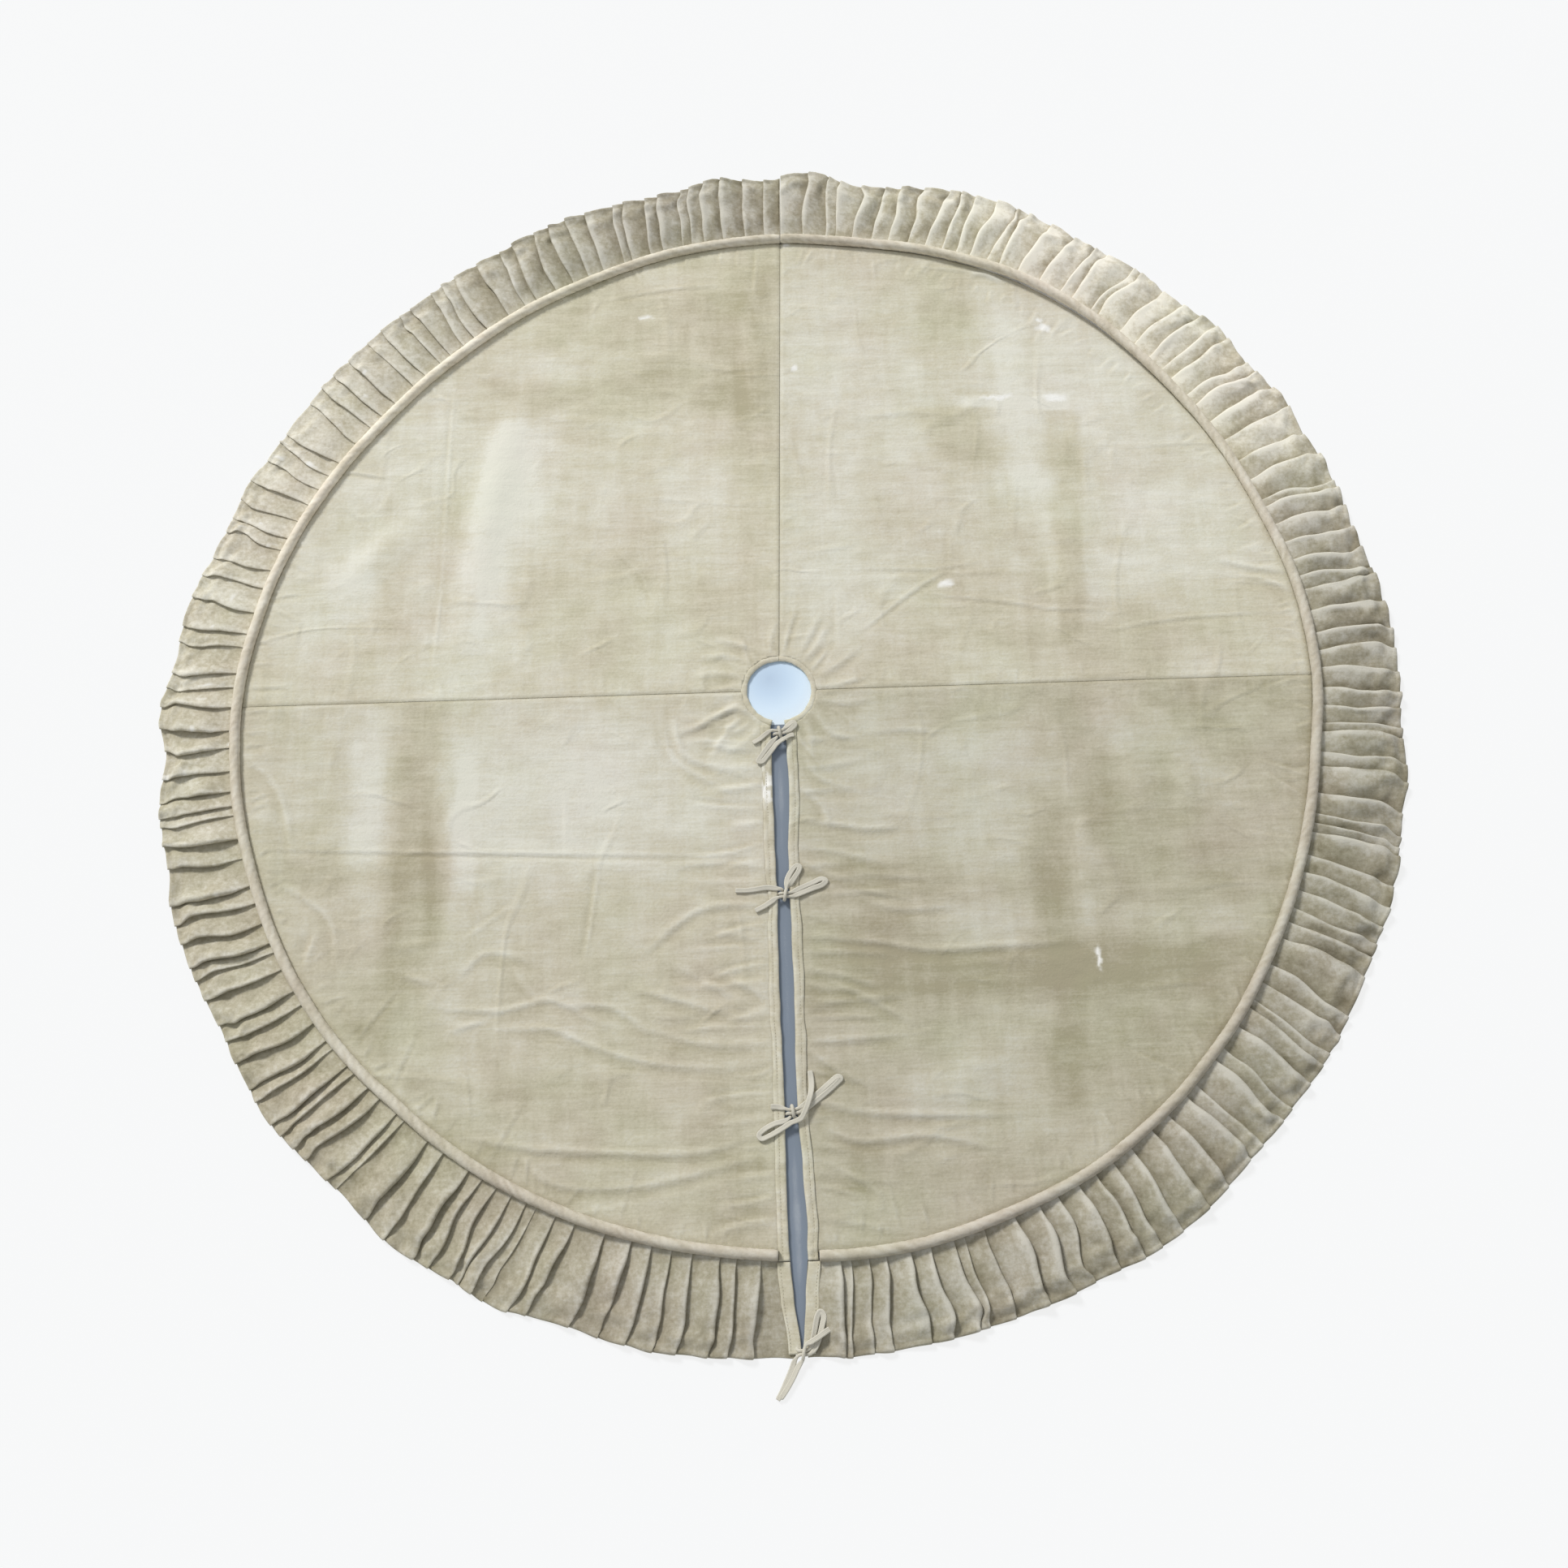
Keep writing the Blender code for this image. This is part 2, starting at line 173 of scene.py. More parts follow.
# The slit's edges, as (distance from the middle, offset across). The slit pinches in at each bow, gapes
# below the third one and nearly closes at the ruffle's edge.
SLIT_LEFT_EDGE = ((0, -11), (46, -11.4), (115, -12.6), (217, -11.4), (262, -10.6), (301, -11.6), (400, -11.8),
                  (457, -10.7), (514, -10.2), (574, -11.4), (635, -11), (674, -10.2), (712, -7.4), (764, -1.6),
                  (790, -1.2))
SLIT_RIGHT_EDGE = ((0, 6), (46, 6.2), (115, 7.4), (217, 4.4), (262, 3.6), (301, 4.6), (400, 4.6),
                   (457, 3.4), (514, 3.6), (574, 7.6), (635, 10), (674, 9.0), (712, 5.6), (764, 1.0), (790, 1.2))


def slit_edge(side: int, along: Array) -> Array:
    """How far the slit's edge lies from the line x = 0, always positive.

    Args:
        side: -1 for the left edge and 1 for the right one.
        along: Distance from the middle of the hole.

    Returns:
        The distance across.
    """
    knots = SLIT_LEFT_EDGE if side < 0 else SLIT_RIGHT_EDGE
    at, across = np.array(knots, float).T
    ramp = np.interp(along, at, np.arange(len(at)))
    low = np.clip(np.floor(ramp).astype(int), 0, len(at) - 2)
    share = ramp - low
    share = share * share * (3 - 2 * share)
    return np.abs(across[low] * (1 - share) + across[low + 1] * share)


# The cloth doesn't lie in a true circle: (degrees counter-clockwise from +X, radius of the welt's middle).
WELT_LIE = (
    (0, 669), (10, 673), (20, 673), (30, 677), (40, 681), (50, 688), (60, 690), (70, 683), (80, 673), (90, 671),
    (100, 665), (110, 656.5), (120, 652), (130, 647), (140, 646.5), (150, 650.5), (160, 657.5), (170, 664), (180, 670),
    (190, 671), (200, 670), (210, 672), (220, 670), (230, 667.5), (240, 668.5), (250, 668.5), (260, 668), (270, 670),
    (280, 675), (290, 674.5), (300, 676), (310, 672), (320, 667), (330, 662), (340, 660), (350, 660.5), (360, 669),
)

# The ruffle's outer edge, every five degrees.
RUFFLE_EDGE = (
    774, 777, 776, 773, 782, 783, 790, 785, 797, 787, 794, 790, 793, 798, 792, 780, 771, 790,
    774, 779, 766, 765, 765, 761, 756, 756, 751, 751, 750, 748, 745, 749, 746, 750, 757, 756,
    766, 755, 765, 764, 771, 772, 768, 773, 781, 778, 777, 787, 783, 786, 778, 781, 780, 777,
    776, 778, 778, 777, 779, 779, 784, 784, 777, 774, 775, 774, 771, 773, 773, 770, 774, 767,
)


def welt_radius(angle: Array) -> Array:
    """The radius of the welt's middle at each angle, in radians."""
    return along_table(WELT_LIE, np.degrees(angle) % 360)


def ruffle_radius(angle: Array) -> Array:
    """The radius of the ruffle's outer edge at each angle, in radians."""
    table = [(5 * k, radius) for k, radius in enumerate((*RUFFLE_EDGE, RUFFLE_EDGE[0]))]
    return along_table(table, np.degrees(angle) % 360)


def stands_up(angle: Array) -> Array:
    """How far the welt stands off the disc at each angle, from 0 to 1: only at the rear right."""
    return np.exp(-((((np.degrees(angle) % 360) - 55) / 17) ** 2))


def laid_out(radius: Array, angle: Array) -> Array:
    """Where a point of the true circle's cloth comes to lie: its new radius."""
    return radius + (welt_radius(angle) - WELT_RING_RADIUS) * (radius / WELT_RING_RADIUS) ** 2


@dataclass(frozen=True)
class Quarter:
    """A quarter of the disc, counter-clockwise from start to end, in radians."""

    name: str
    start: float
    end: float
    body: Body
    seed: int

    @property
    def slit_side(self) -> int:
        """-1 where the slit's left edge bounds it, 1 for the right edge, and 0 at the rear."""
        return {Body.LEFT: -1, Body.RIGHT: 1}.get(self.body, 0)

    def ends(self, radius: Array, from_slit: float) -> tuple[Array, Array]:
        """The quarter's two end angles at each radius.

        Args:
            radius: Radii, in millimetres.
            from_slit: How far the cloth stays back from the slit's edge.

        Returns:
            The start angles and the end angles.
        """
        safe = np.maximum(radius, HOLE_RADIUS)
        seam = np.arcsin(0.15 / safe)
        start, end = self.start + seam, self.end - seam
        if self.slit_side:
            cut = np.arcsin((slit_edge(self.slit_side, safe) + from_slit) / safe)
            if self.slit_side < 0:
                end = self.end - cut
            else:
                start = self.start + cut
        return start, end


QUARTERS = (
    Quarter("front_right", SLIT, math.tau, Body.RIGHT, 11),
    Quarter("rear_right", 0.0, REAR_SEAM, Body.REAR, 12),
    Quarter("rear_left", REAR_SEAM, math.pi, Body.REAR, 13),
    Quarter("front_left", math.pi, SLIT, Body.LEFT, 14),
)


# ---------------------------------------------------------------- the lie of the cloth


class Crease(Enum):
    """Kinds of crease: (half width, width of the valley beside it, share of the height the valley takes)."""

    PRESS = (2.3, 3.4, 0.7)
    FOLD = (4.2, 7.0, 0.7)
    SOFT = (24.0, 30.0, 0.35)


# Each crease: height, then the points that it runs through, in millimetres.
PRESS_LINES = (
    (1.0, (-418, 447), (-422, 301), (-424, 184), (-433, 19)),
    (1.6, (-627, -185), (-408, -196), (-256, -203), (-28, -213)),
    (1.2, (-221, -207), (-229, -269), (-240, -340)),
    (0.6, (-265, -125), (-262, -200)), (0.7, (-321, -260), (-384, -304)),
    (0.6, (76, 141), (77, 53)), (0.6, (227, 214), (223, 160)),
    (1.0, (-231, 578), (-127, 596), (-50, 600)), (1.0, (-76, 466), (-8, 464)),
    (1.5, (105, 76), (177, 132), (223, 160)), (1.3, (188, 126), (284, 113), (358, 99), (411, 95)),
    (1.0, (104, 164), (201, 161), (267, 170)), (0.5, (197, 265), (274, 256)),
    (0.9, (408, 66), (491, 80), (626, 87)), (0.9, (-201, 198), (-173, 167), (-152, 119)),
    (0.8, (218, 620), (287, 610)),
)
FOLD_LINES = (
    (3.0, (-111, -53), (-81, -33), (-49, -24), (-20, -43)), (1.8, (-133, -31), (-118, -82), (-51, -106)),
    (1.6, (-143, -47), (-134, -81), (-102, -109), (-57, -133)), (1.6, (-128, -54), (-91, -43), (-50, -51)),
    (1.6, (-92, -64), (-62, -76), (-27, -74)), (1.4, (-133, -223), (-85, -220), (-29, -226)),
    (1.6, (-170, -327), (-105, -278), (-30, -270)), (1.6, (-91, -304), (-63, -308), (-31, -316)),
    (1.5, (-141, -338), (-97, -363), (-58, -386)), (1.6, (-92, -350), (-55, -367), (-22, -387)),
    (2.4, (-401, -384), (-333, -389), (-278, -379), (-215, -410)), (2.0, (-395, -413), (-359, -401), (-328, -391)),
    (1.5, (-324, -332), (-309, -358), (-289, -378)),
    (2.2, (-391, -404), (-312, -411), (-278, -412), (-229, -433), (-181, -450), (-113, -461), (-21, -464)),
    (1.6, (-383, -345), (-354, -321), (-294, -333)), (1.8, (-264, -384), (-205, -390), (-156, -427)),
    (1.8, (-181, -367), (-131, -383), (-39, -411)), (1.5, (-176, -411), (-107, -433), (-35, -440)),
    (1.8, (-381, -528), (-299, -545), (-205, -553), (-109, -556), (-43, -540)),
    (1.5, (-314, -549), (-275, -583), (-181, -591), (-110, -579), (-48, -563)),
    (1.7, (-657, -63), (-617, -103), (-600, -141), (-588, -198)), (1.3, (-613, -220), (-540, -274), (-527, -330)),
    (1.6, (-554, -289), (-566, -329)), (1.4, (-452, -342), (-417, -354)),
    (1.8, (26, -169), (102, -183), (143, -181)), (1.8, (9, -214), (54, -239), (104, -249)),
    (1.3, (64, -237), (174, -246)), (1.6, (7, -118), (47, -152), (56, -184)),
    (2.2, (20, -313), (95, -320), (168, -333), (244, -331), (343, -328)), (1.7, (33, -358), (96, -391), (139, -417)),
    (1.2, (17, -398), (67, -390)), (1.8, (11, -437), (48, -467), (86, -487)),
    (2.2, (8, -495), (61, -515), (156, -523), (252, -526)), (2.0, (35, -533), (68, -548), (154, -546), (230, -563)),
    (1.6, (34, -570), (66, -589), (97, -609)), (1.6, (27, -84), (45, -116), (94, -134)),
    (2.0, (589, 136), (624, 131), (651, 116)), (1.4, (566, 162), (611, 149), (657, 141)),
    (2.6, (282, 607), (304, 604), (325, 592)), (1.5, (-78, 70), (-44, 62), (-4, 49)),
    (1.6, (-98, 47), (-64, 48), (-37, 38)), (1.6, (-105, 22), (-70, 24), (-44, 19)),
    (1.8, (39, -32), (63, -59), (97, -71)), (1.4, (44, -12), (80, -20), (115, -15)),
    (1.2, (32, 39), (53, 66), (64, 88)), (1.2, (73, -260), (125, -281), (202, -282)),
    (1.2, (98, -60), (158, -57), (197, -63)),
)
SOFT_LINES = (
    (3.0, (-331, 428), (-369, 252), (-396, 51)), (2.5, (-458, 249), (-556, 156)),
    (2.5, (355, 251), (378, 157), (385, 66)), (2.5, (372, -10), (425, -87), (445, -171)),
    (2.0, (411, -22), (483, -99), (502, -183)), (1.8, (543, -16), (622, -104)),
    (2.5, (-575, -383), (-486, -469), (-382, -544)), (1.8, (-461, -424), (-329, -511), (-255, -566)),
    (1.5, (255, -448), (187, -491), (112, -498)), (1.5, (357, -168), (352, -318)),
    (2.0, (-46, 642), (-16, 510), (-12, 335)),
)

# Where the pile lies brushed one way or the other: (x, y, half width, half height, tone). Tone runs from
# -1, brushed towards the viewer and olive dark, to 1, brushed away and pale.
NAP_PATCHES = (
    (-18, 497, 31, 166, -0.8), (-185, 433, 189, 37, -0.6), (-235, 550, 55, 65, -0.4), (-310, 475, 49, 23, 0.6),
    (-329, 322, 42, 84, 0.5), (-351, 181, 26, 138, 0.4), (-243, 236, 78, 117, -0.3), (-97, 254, 42, 88, 0.5),
    (-484, 151, 21, 91, -0.35), (-577, 155, 57, 136, 0.25), (-444, -182, 27, 182, -0.75), (-418, -223, 14, 80, -0.6),
    (-510, -129, 22, 98, 0.7), (-386, -154, 12, 92, 0.7), (-318, -166, 78, 61, 0.5), (-181, -155, 78, 46, 0.35),
    (-485, -409, 26, 70, -0.35), (-275, -407, 117, 56, 0.3), (-75, -446, 37, 185, -0.2), (-283, -494, 83, 50, 0.25),
    (-582, -287, 29, 58, 0.2), (245, 560, 39, 59, -0.55), (325, 460, 20, 89, 0.5), (257, 339, 45, 61, -0.55),
    (387, 334, 21, 67, -0.8), (376, 157, 19, 92, -0.95), (339, 300, 19, 72, 0.5), (316, 408, 65, 11, 0.8),
    (488, 211, 84, 64, 0.3), (64, 333, 37, 242, 0.25), (148, 505, 66, 115, 0.2), (381, 408, 15, 11, 1.0),
    (112, -246, 63, 25, -0.55), (262, -363, 227, 29, -0.65), (229, -299, 67, 24, 0.55), (464, -302, 91, 20, 0.5),
    (320, -356, 19, 182, -0.4), (245, -92, 59, 32, 0.3), (95, -569, 41, 44, -0.4), (229, -484, 51, 64, 0.3),
    (421, -165, 54, 67, -0.3), (77, -479, 55, 37, -0.2), (530, -122, 49, 63, 0.25), (160, -182, 117, 36, 0.2),
    (448, -398, 56, 66, -0.2), (345, -569, 55, 35, 0.15),
)

# Broad sweeps of the pile: (x, y, half width, half height, tone).
NAP_SWEEPS = (
    (-430, 230, 210, 190, 0.5), (-250, 330, 160, 150, 0.2), (-60, 560, 110, 80, -0.2), (-330, -100, 240, 110, 0.55),
    (-130, -130, 130, 110, 0.3), (-330, -500, 220, 110, -0.5), (-560, -330, 110, 150, -0.2), (420, 40, 300, 60, -0.5),
    (430, 420, 170, 150, 0.45), (180, 600, 150, 80, -0.35), (250, 100, 150, 70, -0.2), (100, -120, 120, 100, 0.3),
    (440, -400, 210, 190, -0.35), (560, -70, 150, 110, -0.4), (270, -150, 110, 80, 0.3), (150, -320, 150, 90, -0.25),
)

# Spots where the pile is worn to the white ground: (x, y, half width, half height).
WORN_SPOTS = (
    (-163, 551, 10, 4), (381, 408, 15, 6), (363, -349, 3, 15), (374, 516, 9, 6), (305, 411, 22, 4),
    (37, 464, 4, 5), (-22, -130, 3, 15), (31, 666, 4, 5), (370, 530, 5, 5), (216, 140, 10, 5),
)

# How pale each quarter's pile looks as it lies, which its direction decides, and how bright each quarter is:
# painted light, as the light falls on it.
QUARTER_TONE = {"rear_left": 0.0, "rear_right": 0.28, "front_left": 0.0, "front_right": -0.1}
QUARTER_PAINTED_LIGHT = {"rear_left": 1.0, "rear_right": 0.96, "front_left": 0.95, "front_right": 0.86}


@dataclass
class Relief:
    """The ups and downs of the velvet on the floor, in millimetres above its flat lie."""

    creases: list[tuple[Crease, float, Array]] = field(default_factory=list)

    def __post_init__(self) -> None:
        """Collects the drawn creases, then the small puckers that sewing leaves along each edge."""
        for kind, lines in ((Crease.PRESS, PRESS_LINES), (Crease.FOLD, FOLD_LINES), (Crease.SOFT, SOFT_LINES)):
            for height, *points in lines:
                self.creases.append((kind, height, smooth_line(points, 6)))
        rng = np.random.default_rng(7)
        self._slit_puckers(rng)
        self._hole_puckers(rng)
        self._welt_puckers(rng)
        self._seam_puckers(rng)

    def _add(self, height: float, points: Sequence[Sequence[float]], kind: Crease = Crease.FOLD) -> None:
        """Adds one pucker as a crease."""
        self.creases.append((kind, height, smooth_line(points, 3)))

    def _slit_puckers(self, rng: np.random.Generator) -> None:
        """Puckers square to the slit's two edges."""
        for side in (-1, 1):
            along = 70.0
            while along < 640:
                reach = rng.uniform(45, 130)
                slant = rng.uniform(-0.28, 0.12)
                edge = side * (float(slit_edge(side, np.array(along))) + 10)
                middle = (edge + side * reach * 0.5, -along + slant * reach * 0.5 + rng.uniform(-4, 4))
                tip = (edge + side * reach, -along + slant * reach)
                kind = Crease.PRESS if rng.random() < 0.4 else Crease.FOLD
                self._add(rng.uniform(0.7, 1.8), ((edge, -along), middle, tip), kind)
                along += rng.uniform(16, 34)

    def _hole_puckers(self, rng: np.random.Generator) -> None:
        """Puckers that run out from the binding of the hole."""
        for number in range(20):
            angle = math.radians(-70 + number * 16.8 + rng.uniform(-5, 5))
            start, reach = 49.0, rng.uniform(28, 75)
            bend = rng.uniform(-0.16, 0.16)
            points = [
                (r * math.cos(angle + bend * k), r * math.sin(angle + bend * k))
                for k, r in enumerate((start, start + reach / 2, start + reach))
            ]
            self._add(rng.uniform(0.7, 1.7), points, Crease.PRESS if number % 3 == 0 else Crease.FOLD)

    def _welt_puckers(self, rng: np.random.Generator) -> None:
        """Short puckers that run in from the welt's stitching."""
        run = 0.0
        while run < math.tau * PANEL_OUTER:
            angle = run / PANEL_OUTER
            reach = rng.uniform(9, 30) if rng.random() < 0.85 else rng.uniform(40, 80)
            slant = rng.uniform(-0.5, 0.5) * reach / PANEL_OUTER
            points = [
                ((PANEL_OUTER - d * reach) * math.cos(angle + slant * d),
                 (PANEL_OUTER - d * reach) * math.sin(angle + slant * d))
                for d in (0.0, 0.5, 1.0)
            ]
            self._add(rng.uniform(0.4, 1.2), points, Crease.PRESS)
            run += rng.uniform(12, 34)

    def _seam_puckers(self, rng: np.random.Generator) -> None:
        """Small puckers beside the cross seams and the rear seam."""
        for angle in (0.0, REAR_SEAM, math.pi):
            run = 70.0
            while run < 640:
                for side in (-1, 1):
                    reach = rng.uniform(10, 30)
                    out = Vector((math.cos(angle), math.sin(angle)))
                    across = Vector((-out.y, out.x)) * side
                    near = out * (run + rng.uniform(-6, 6)) + across * 2.5
                    far = near + across * reach + out * rng.uniform(-8, 8)
                    self._add(rng.uniform(0.2, 0.6), (near, (near + far) / 2, far), Crease.PRESS)
                run += rng.uniform(16, 40)

    def height(self, x: Array, y: Array) -> tuple[Array, Array]:
        """The height of the velvet's top above its flat lie.

        Args:
            x: Across, in millimetres.
            y: Along, in millimetres.

        Returns:
            The height, in millimetres and at least -0.7, and the share of it that creases make.
        """
        made = 0.5 * lattice_noise(x, y, 150, 120, 21) + 0.35 * lattice_noise(x, y, 55, 48, 22)
        made += 0.26 * lattice_noise(x, y, 19, 13, 23) + 0.13 * lattice_noise(x, y, 9, 6, 24)
        made += 0.11 * lattice_noise(x, y, 46, 5, 25) + 0.07 * lattice_noise(x, y, 5, 46, 26)
        plain = made.copy()
        for kind, height, line in self.creases:
            width, beside, depth = kind.value
            height = height * 1.2
            reach = 3 * width + 2 * beside
            low, high = line.min(0) - reach, line.max(0) + reach
            near = np.nonzero((x > low[0]) & (x < high[0]) & (y > low[1]) & (y < high[1]))[0]
            if not len(near):
                continue
            points = np.stack([x[near], y[near]], axis=1)
            first, steps = line[:-1], np.diff(line, axis=0)
            squared = (steps**2).sum(1)
            away = points[:, None, :] - first[None]
            share = np.clip((away * steps).sum(2) / squared, 0, 1)
            gap = away - share[..., None] * steps
            distance = (gap**2).sum(2)
            best = distance.argmin(1)
            rows = np.arange(len(near))
            side = np.sign(steps[best, 0] * gap[rows, best, 1] - steps[best, 1] * gap[rows, best, 0])
            signed = np.sqrt(distance[rows, best]) * side
            through = (best + share[rows, best]) / len(steps)
            taper = np.sin(math.pi * np.clip(through, 0.02, 0.98)) ** 0.7
            ridge = np.exp(-((signed / width) ** 2))
            valley = depth * np.exp(-(((signed + 1.5 * width) / beside) ** 2))
            made[near] += height * taper * (ridge - valley)
        return np.maximum(made, -0.7), made - plain


def nap_tone(x: Array, y: Array, quarter: Quarter) -> Array:
    """Which way the pile lies at each point of a panel, from -1 (dark) to 1 (pale)."""
    tone = np.full(len(x), QUARTER_TONE[quarter.name])
    warp_x = x + 9 * lattice_noise(x, y, 45, 60, 31)
    warp_y = y + 9 * lattice_noise(x, y, 60, 45, 32)
    for at_x, at_y, half_x, half_y, amount in NAP_PATCHES:
        if (at_y > 0) != (quarter.body is Body.REAR) or (at_x > 0) != quarter.name.endswith("right"):
            continue
        inside_x = 1 - smoothstep(0.45, 1.5, np.abs(warp_x - at_x) / half_x)
        inside_y = 1 - smoothstep(0.5, 1.45, np.abs(warp_y - at_y) / half_y)
        tone += 0.85 * amount * inside_x * inside_y
    for at_x, at_y, half_x, half_y, amount in NAP_SWEEPS:
        if (at_y > 0) == (quarter.body is Body.REAR) and (at_x > 0) == quarter.name.endswith("right"):
            tone += amount * np.exp(-(((warp_x - at_x) / half_x) ** 2) - ((warp_y - at_y) / half_y) ** 2)
    seed = quarter.seed
    tone += 0.2 * lattice_noise(x, y, 95, 46, seed) + 0.15 * lattice_noise(x, y, 40, 110, seed + 40)
    tone += 0.17 * lattice_noise(x, y, 30, 16, seed + 80) + 0.12 * lattice_noise(x, y, 12, 30, seed + 120)
    tone += 0.16 * lattice_noise(x, y, 60, 4, seed + 160) + 0.1 * lattice_noise(x, y, 4, 50, seed + 200)
    return tone


def worn_share(x: Array, y: Array) -> Array:
    """How far the pile is worn away at each point, from 0 to 1."""
    ragged_x = x + 3 * lattice_noise(x, y, 6, 6, 51)
    ragged_y = y + 3 * lattice_noise(x, y, 6, 6, 52)
    worn = np.zeros(len(x))
    for at_x, at_y, half_x, half_y in WORN_SPOTS:
        away = np.hypot((ragged_x - at_x) / half_x, (ragged_y - at_y) / half_y)
        worn = np.maximum(worn, 1 - smoothstep(0.5, 1.3, away))
    return worn


# ---------------------------------------------------------------- finishes


def linear(hex_colour: str) -> tuple[float, float, float, float]:
    """An sRGB hex colour as the linear colour that a node takes."""
    parts = [int(hex_colour[i:i + 2], 16) / 255 for i in (0, 2, 4)]
    red, green, blue = (c / 12.92 if c <= 0.04045 else ((c + 0.055) / 1.055) ** 2.4 for c in parts)
    return red, green, blue, 1.0


def add_node(tree: bpy.types.NodeTree, kind: str, values: dict | None = None, links: dict | None = None,
             **settings: object) -> bpy.types.Node:
    """Adds a node.

    Args:
        tree: The material's node tree.
        kind: The node's type.
        values: Input socket to its constant value.
        links: Input socket to the output socket that feeds it.
        **settings: The node's own properties.

    Returns:
        The node.
    """
    node = tree.nodes.new(kind)
    for name, value in settings.items():
        setattr(node, name, value)
    for socket, value in (values or {}).items():
        node.inputs[socket].default_value = value
    for socket, source in (links or {}).items():
        tree.links.new(source, node.inputs[socket])
    return node


def new_material(name: str) -> tuple[bpy.types.Material, bpy.types.NodeTree, bpy.types.Node]:
    """A material with its tree and its one Principled shader."""
    made = bpy.data.materials.new(name)
    made.use_nodes = True
    return made, made.node_tree, made.node_tree.nodes["Principled BSDF"]


@dataclass(frozen=True)
class CottonVelvet:
    """Woven cotton velvet: a dense cut pile that shades pale or olive with the way it lies.

    The pile gives the eye soft patches with woven edges, a faint grain along the weft, a pale sheen where
    the surface turns away, and white specks where it is worn to the ground.
    """

    name: str
    dark: str = "B2AB90"
    middle: str = "CFC9B3"
    pale: str = "E4E2D5"
    worn: str = "F4F3EE"
    # Painted shade: the dark colour that seams, grooves and pleat valleys are painted towards.
    painted_shade_tone: str = "8B8262"
    sheen: float = 0.18
    roughness: float = 0.9
    grain: float = 0.9
    clumps: float = 1.1
    clumps_per_metre: float = 260.0
    crumple: float = 0.0007

    def build(self) -> bpy.types.Material:
        """Makes the material. It reads the attributes nap, value, worn and hollow, of which value paints light and
        hollow paints shade.
        """
        made, tree, shader = new_material(self.name)
        place = add_node(tree, "ShaderNodeTexCoord")
        nap = add_node(tree, "ShaderNodeAttribute", attribute_name="nap")
        value = add_node(tree, "ShaderNodeAttribute", attribute_name="value")
        worn = add_node(tree, "ShaderNodeAttribute", attribute_name="worn")
        painted_shade = add_node(tree, "ShaderNodeAttribute", attribute_name="painted_shade")
        # Weft threads lie about 0.7 mm apart, too fine to show, so the grain is drawn at 2.5 mm by 25 mm.
        along = add_node(tree, "ShaderNodeMapping", {"Scale": (40, 400, 40)}, {"Vector": place.outputs["Object"]})
        streaks = add_node(tree, "ShaderNodeTexNoise", {"Scale": 1.0, "Detail": 3.0, "Roughness": 0.6},
                           {"Vector": along.outputs["Vector"]})
        # Tufts crush together in clumps 4 or 5 mm wide.
        tufts = add_node(tree, "ShaderNodeTexNoise", {"Scale": self.clumps_per_metre, "Detail": 4.0, "Roughness": 0.65},
                         {"Vector": place.outputs["Object"]})
        # Handling leaves blotches 15 to 30 mm wide.
        blotches = add_node(tree, "ShaderNodeTexNoise", {"Scale": 38.0, "Detail": 5.0, "Roughness": 0.6},
                            {"Vector": place.outputs["Object"]})
        tone = nap.outputs["Fac"]
        for source, amount in ((streaks, self.grain), (tufts, self.clumps), (blotches, 0.8)):
            centred = add_node(tree, "ShaderNodeMath", {1: 0.5}, {0: source.outputs["Fac"]}, operation="SUBTRACT")
            tone = add_node(tree, "ShaderNodeMath", {1: amount}, {0: centred.outputs[0], 2: tone},
                            operation="MULTIPLY_ADD").outputs[0]
        share = add_node(tree, "ShaderNodeMapRange", {"From Min": -1.0, "From Max": 1.0}, {"Value": tone})
        ramp = add_node(tree, "ShaderNodeValToRGB", links={"Fac": share.outputs["Result"]})
        ramp.color_ramp.elements[0].color = linear(self.dark)
        ramp.color_ramp.elements[1].color = linear(self.pale)
        ramp.color_ramp.elements.new(0.48).color = linear(self.middle)
        # The dye has faded unevenly, so the cloth turns from rosy to green across a hand's width.
        fading = add_node(tree, "ShaderNodeTexNoise", {"Scale": 6.0, "Detail": 3.0, "Roughness": 0.6},
                          {"Vector": place.outputs["Object"]})
        hue = add_node(tree, "ShaderNodeMapRange", {"From Min": 0.3, "From Max": 0.7, "To Min": 0.484, "To Max": 0.514},
                       {"Value": fading.outputs["Fac"]})
        # Painted light: the value attribute brightens or darkens the colour as the light falls on each piece.
        lit = add_node(tree, "ShaderNodeHueSaturation", links={
            "Color": ramp.outputs["Color"], "Value": value.outputs["Fac"], "Hue": hue.outputs["Result"]})
        # Painted shade: the colour is darkened towards the shade colour in seams, grooves and pleat valleys.
        painted_shade_mix = add_node(tree, "ShaderNodeMix", {"B": linear(self.painted_shade_tone)}, {"Factor": painted_shade.outputs["Fac"]},
                          data_type="RGBA", blend_type="MIX")
        tree.links.new(lit.outputs["Color"], painted_shade_mix.inputs[6])
        painted_shade_mix.inputs[7].default_value = linear(self.painted_shade_tone)
        bare = add_node(tree, "ShaderNodeMix", links={"Factor": worn.outputs["Fac"]}, data_type="RGBA")
        tree.links.new(painted_shade_mix.outputs[2], bare.inputs[6])
        bare.inputs[7].default_value = linear(self.worn)
        tree.links.new(bare.outputs[2], shader.inputs["Base Color"])
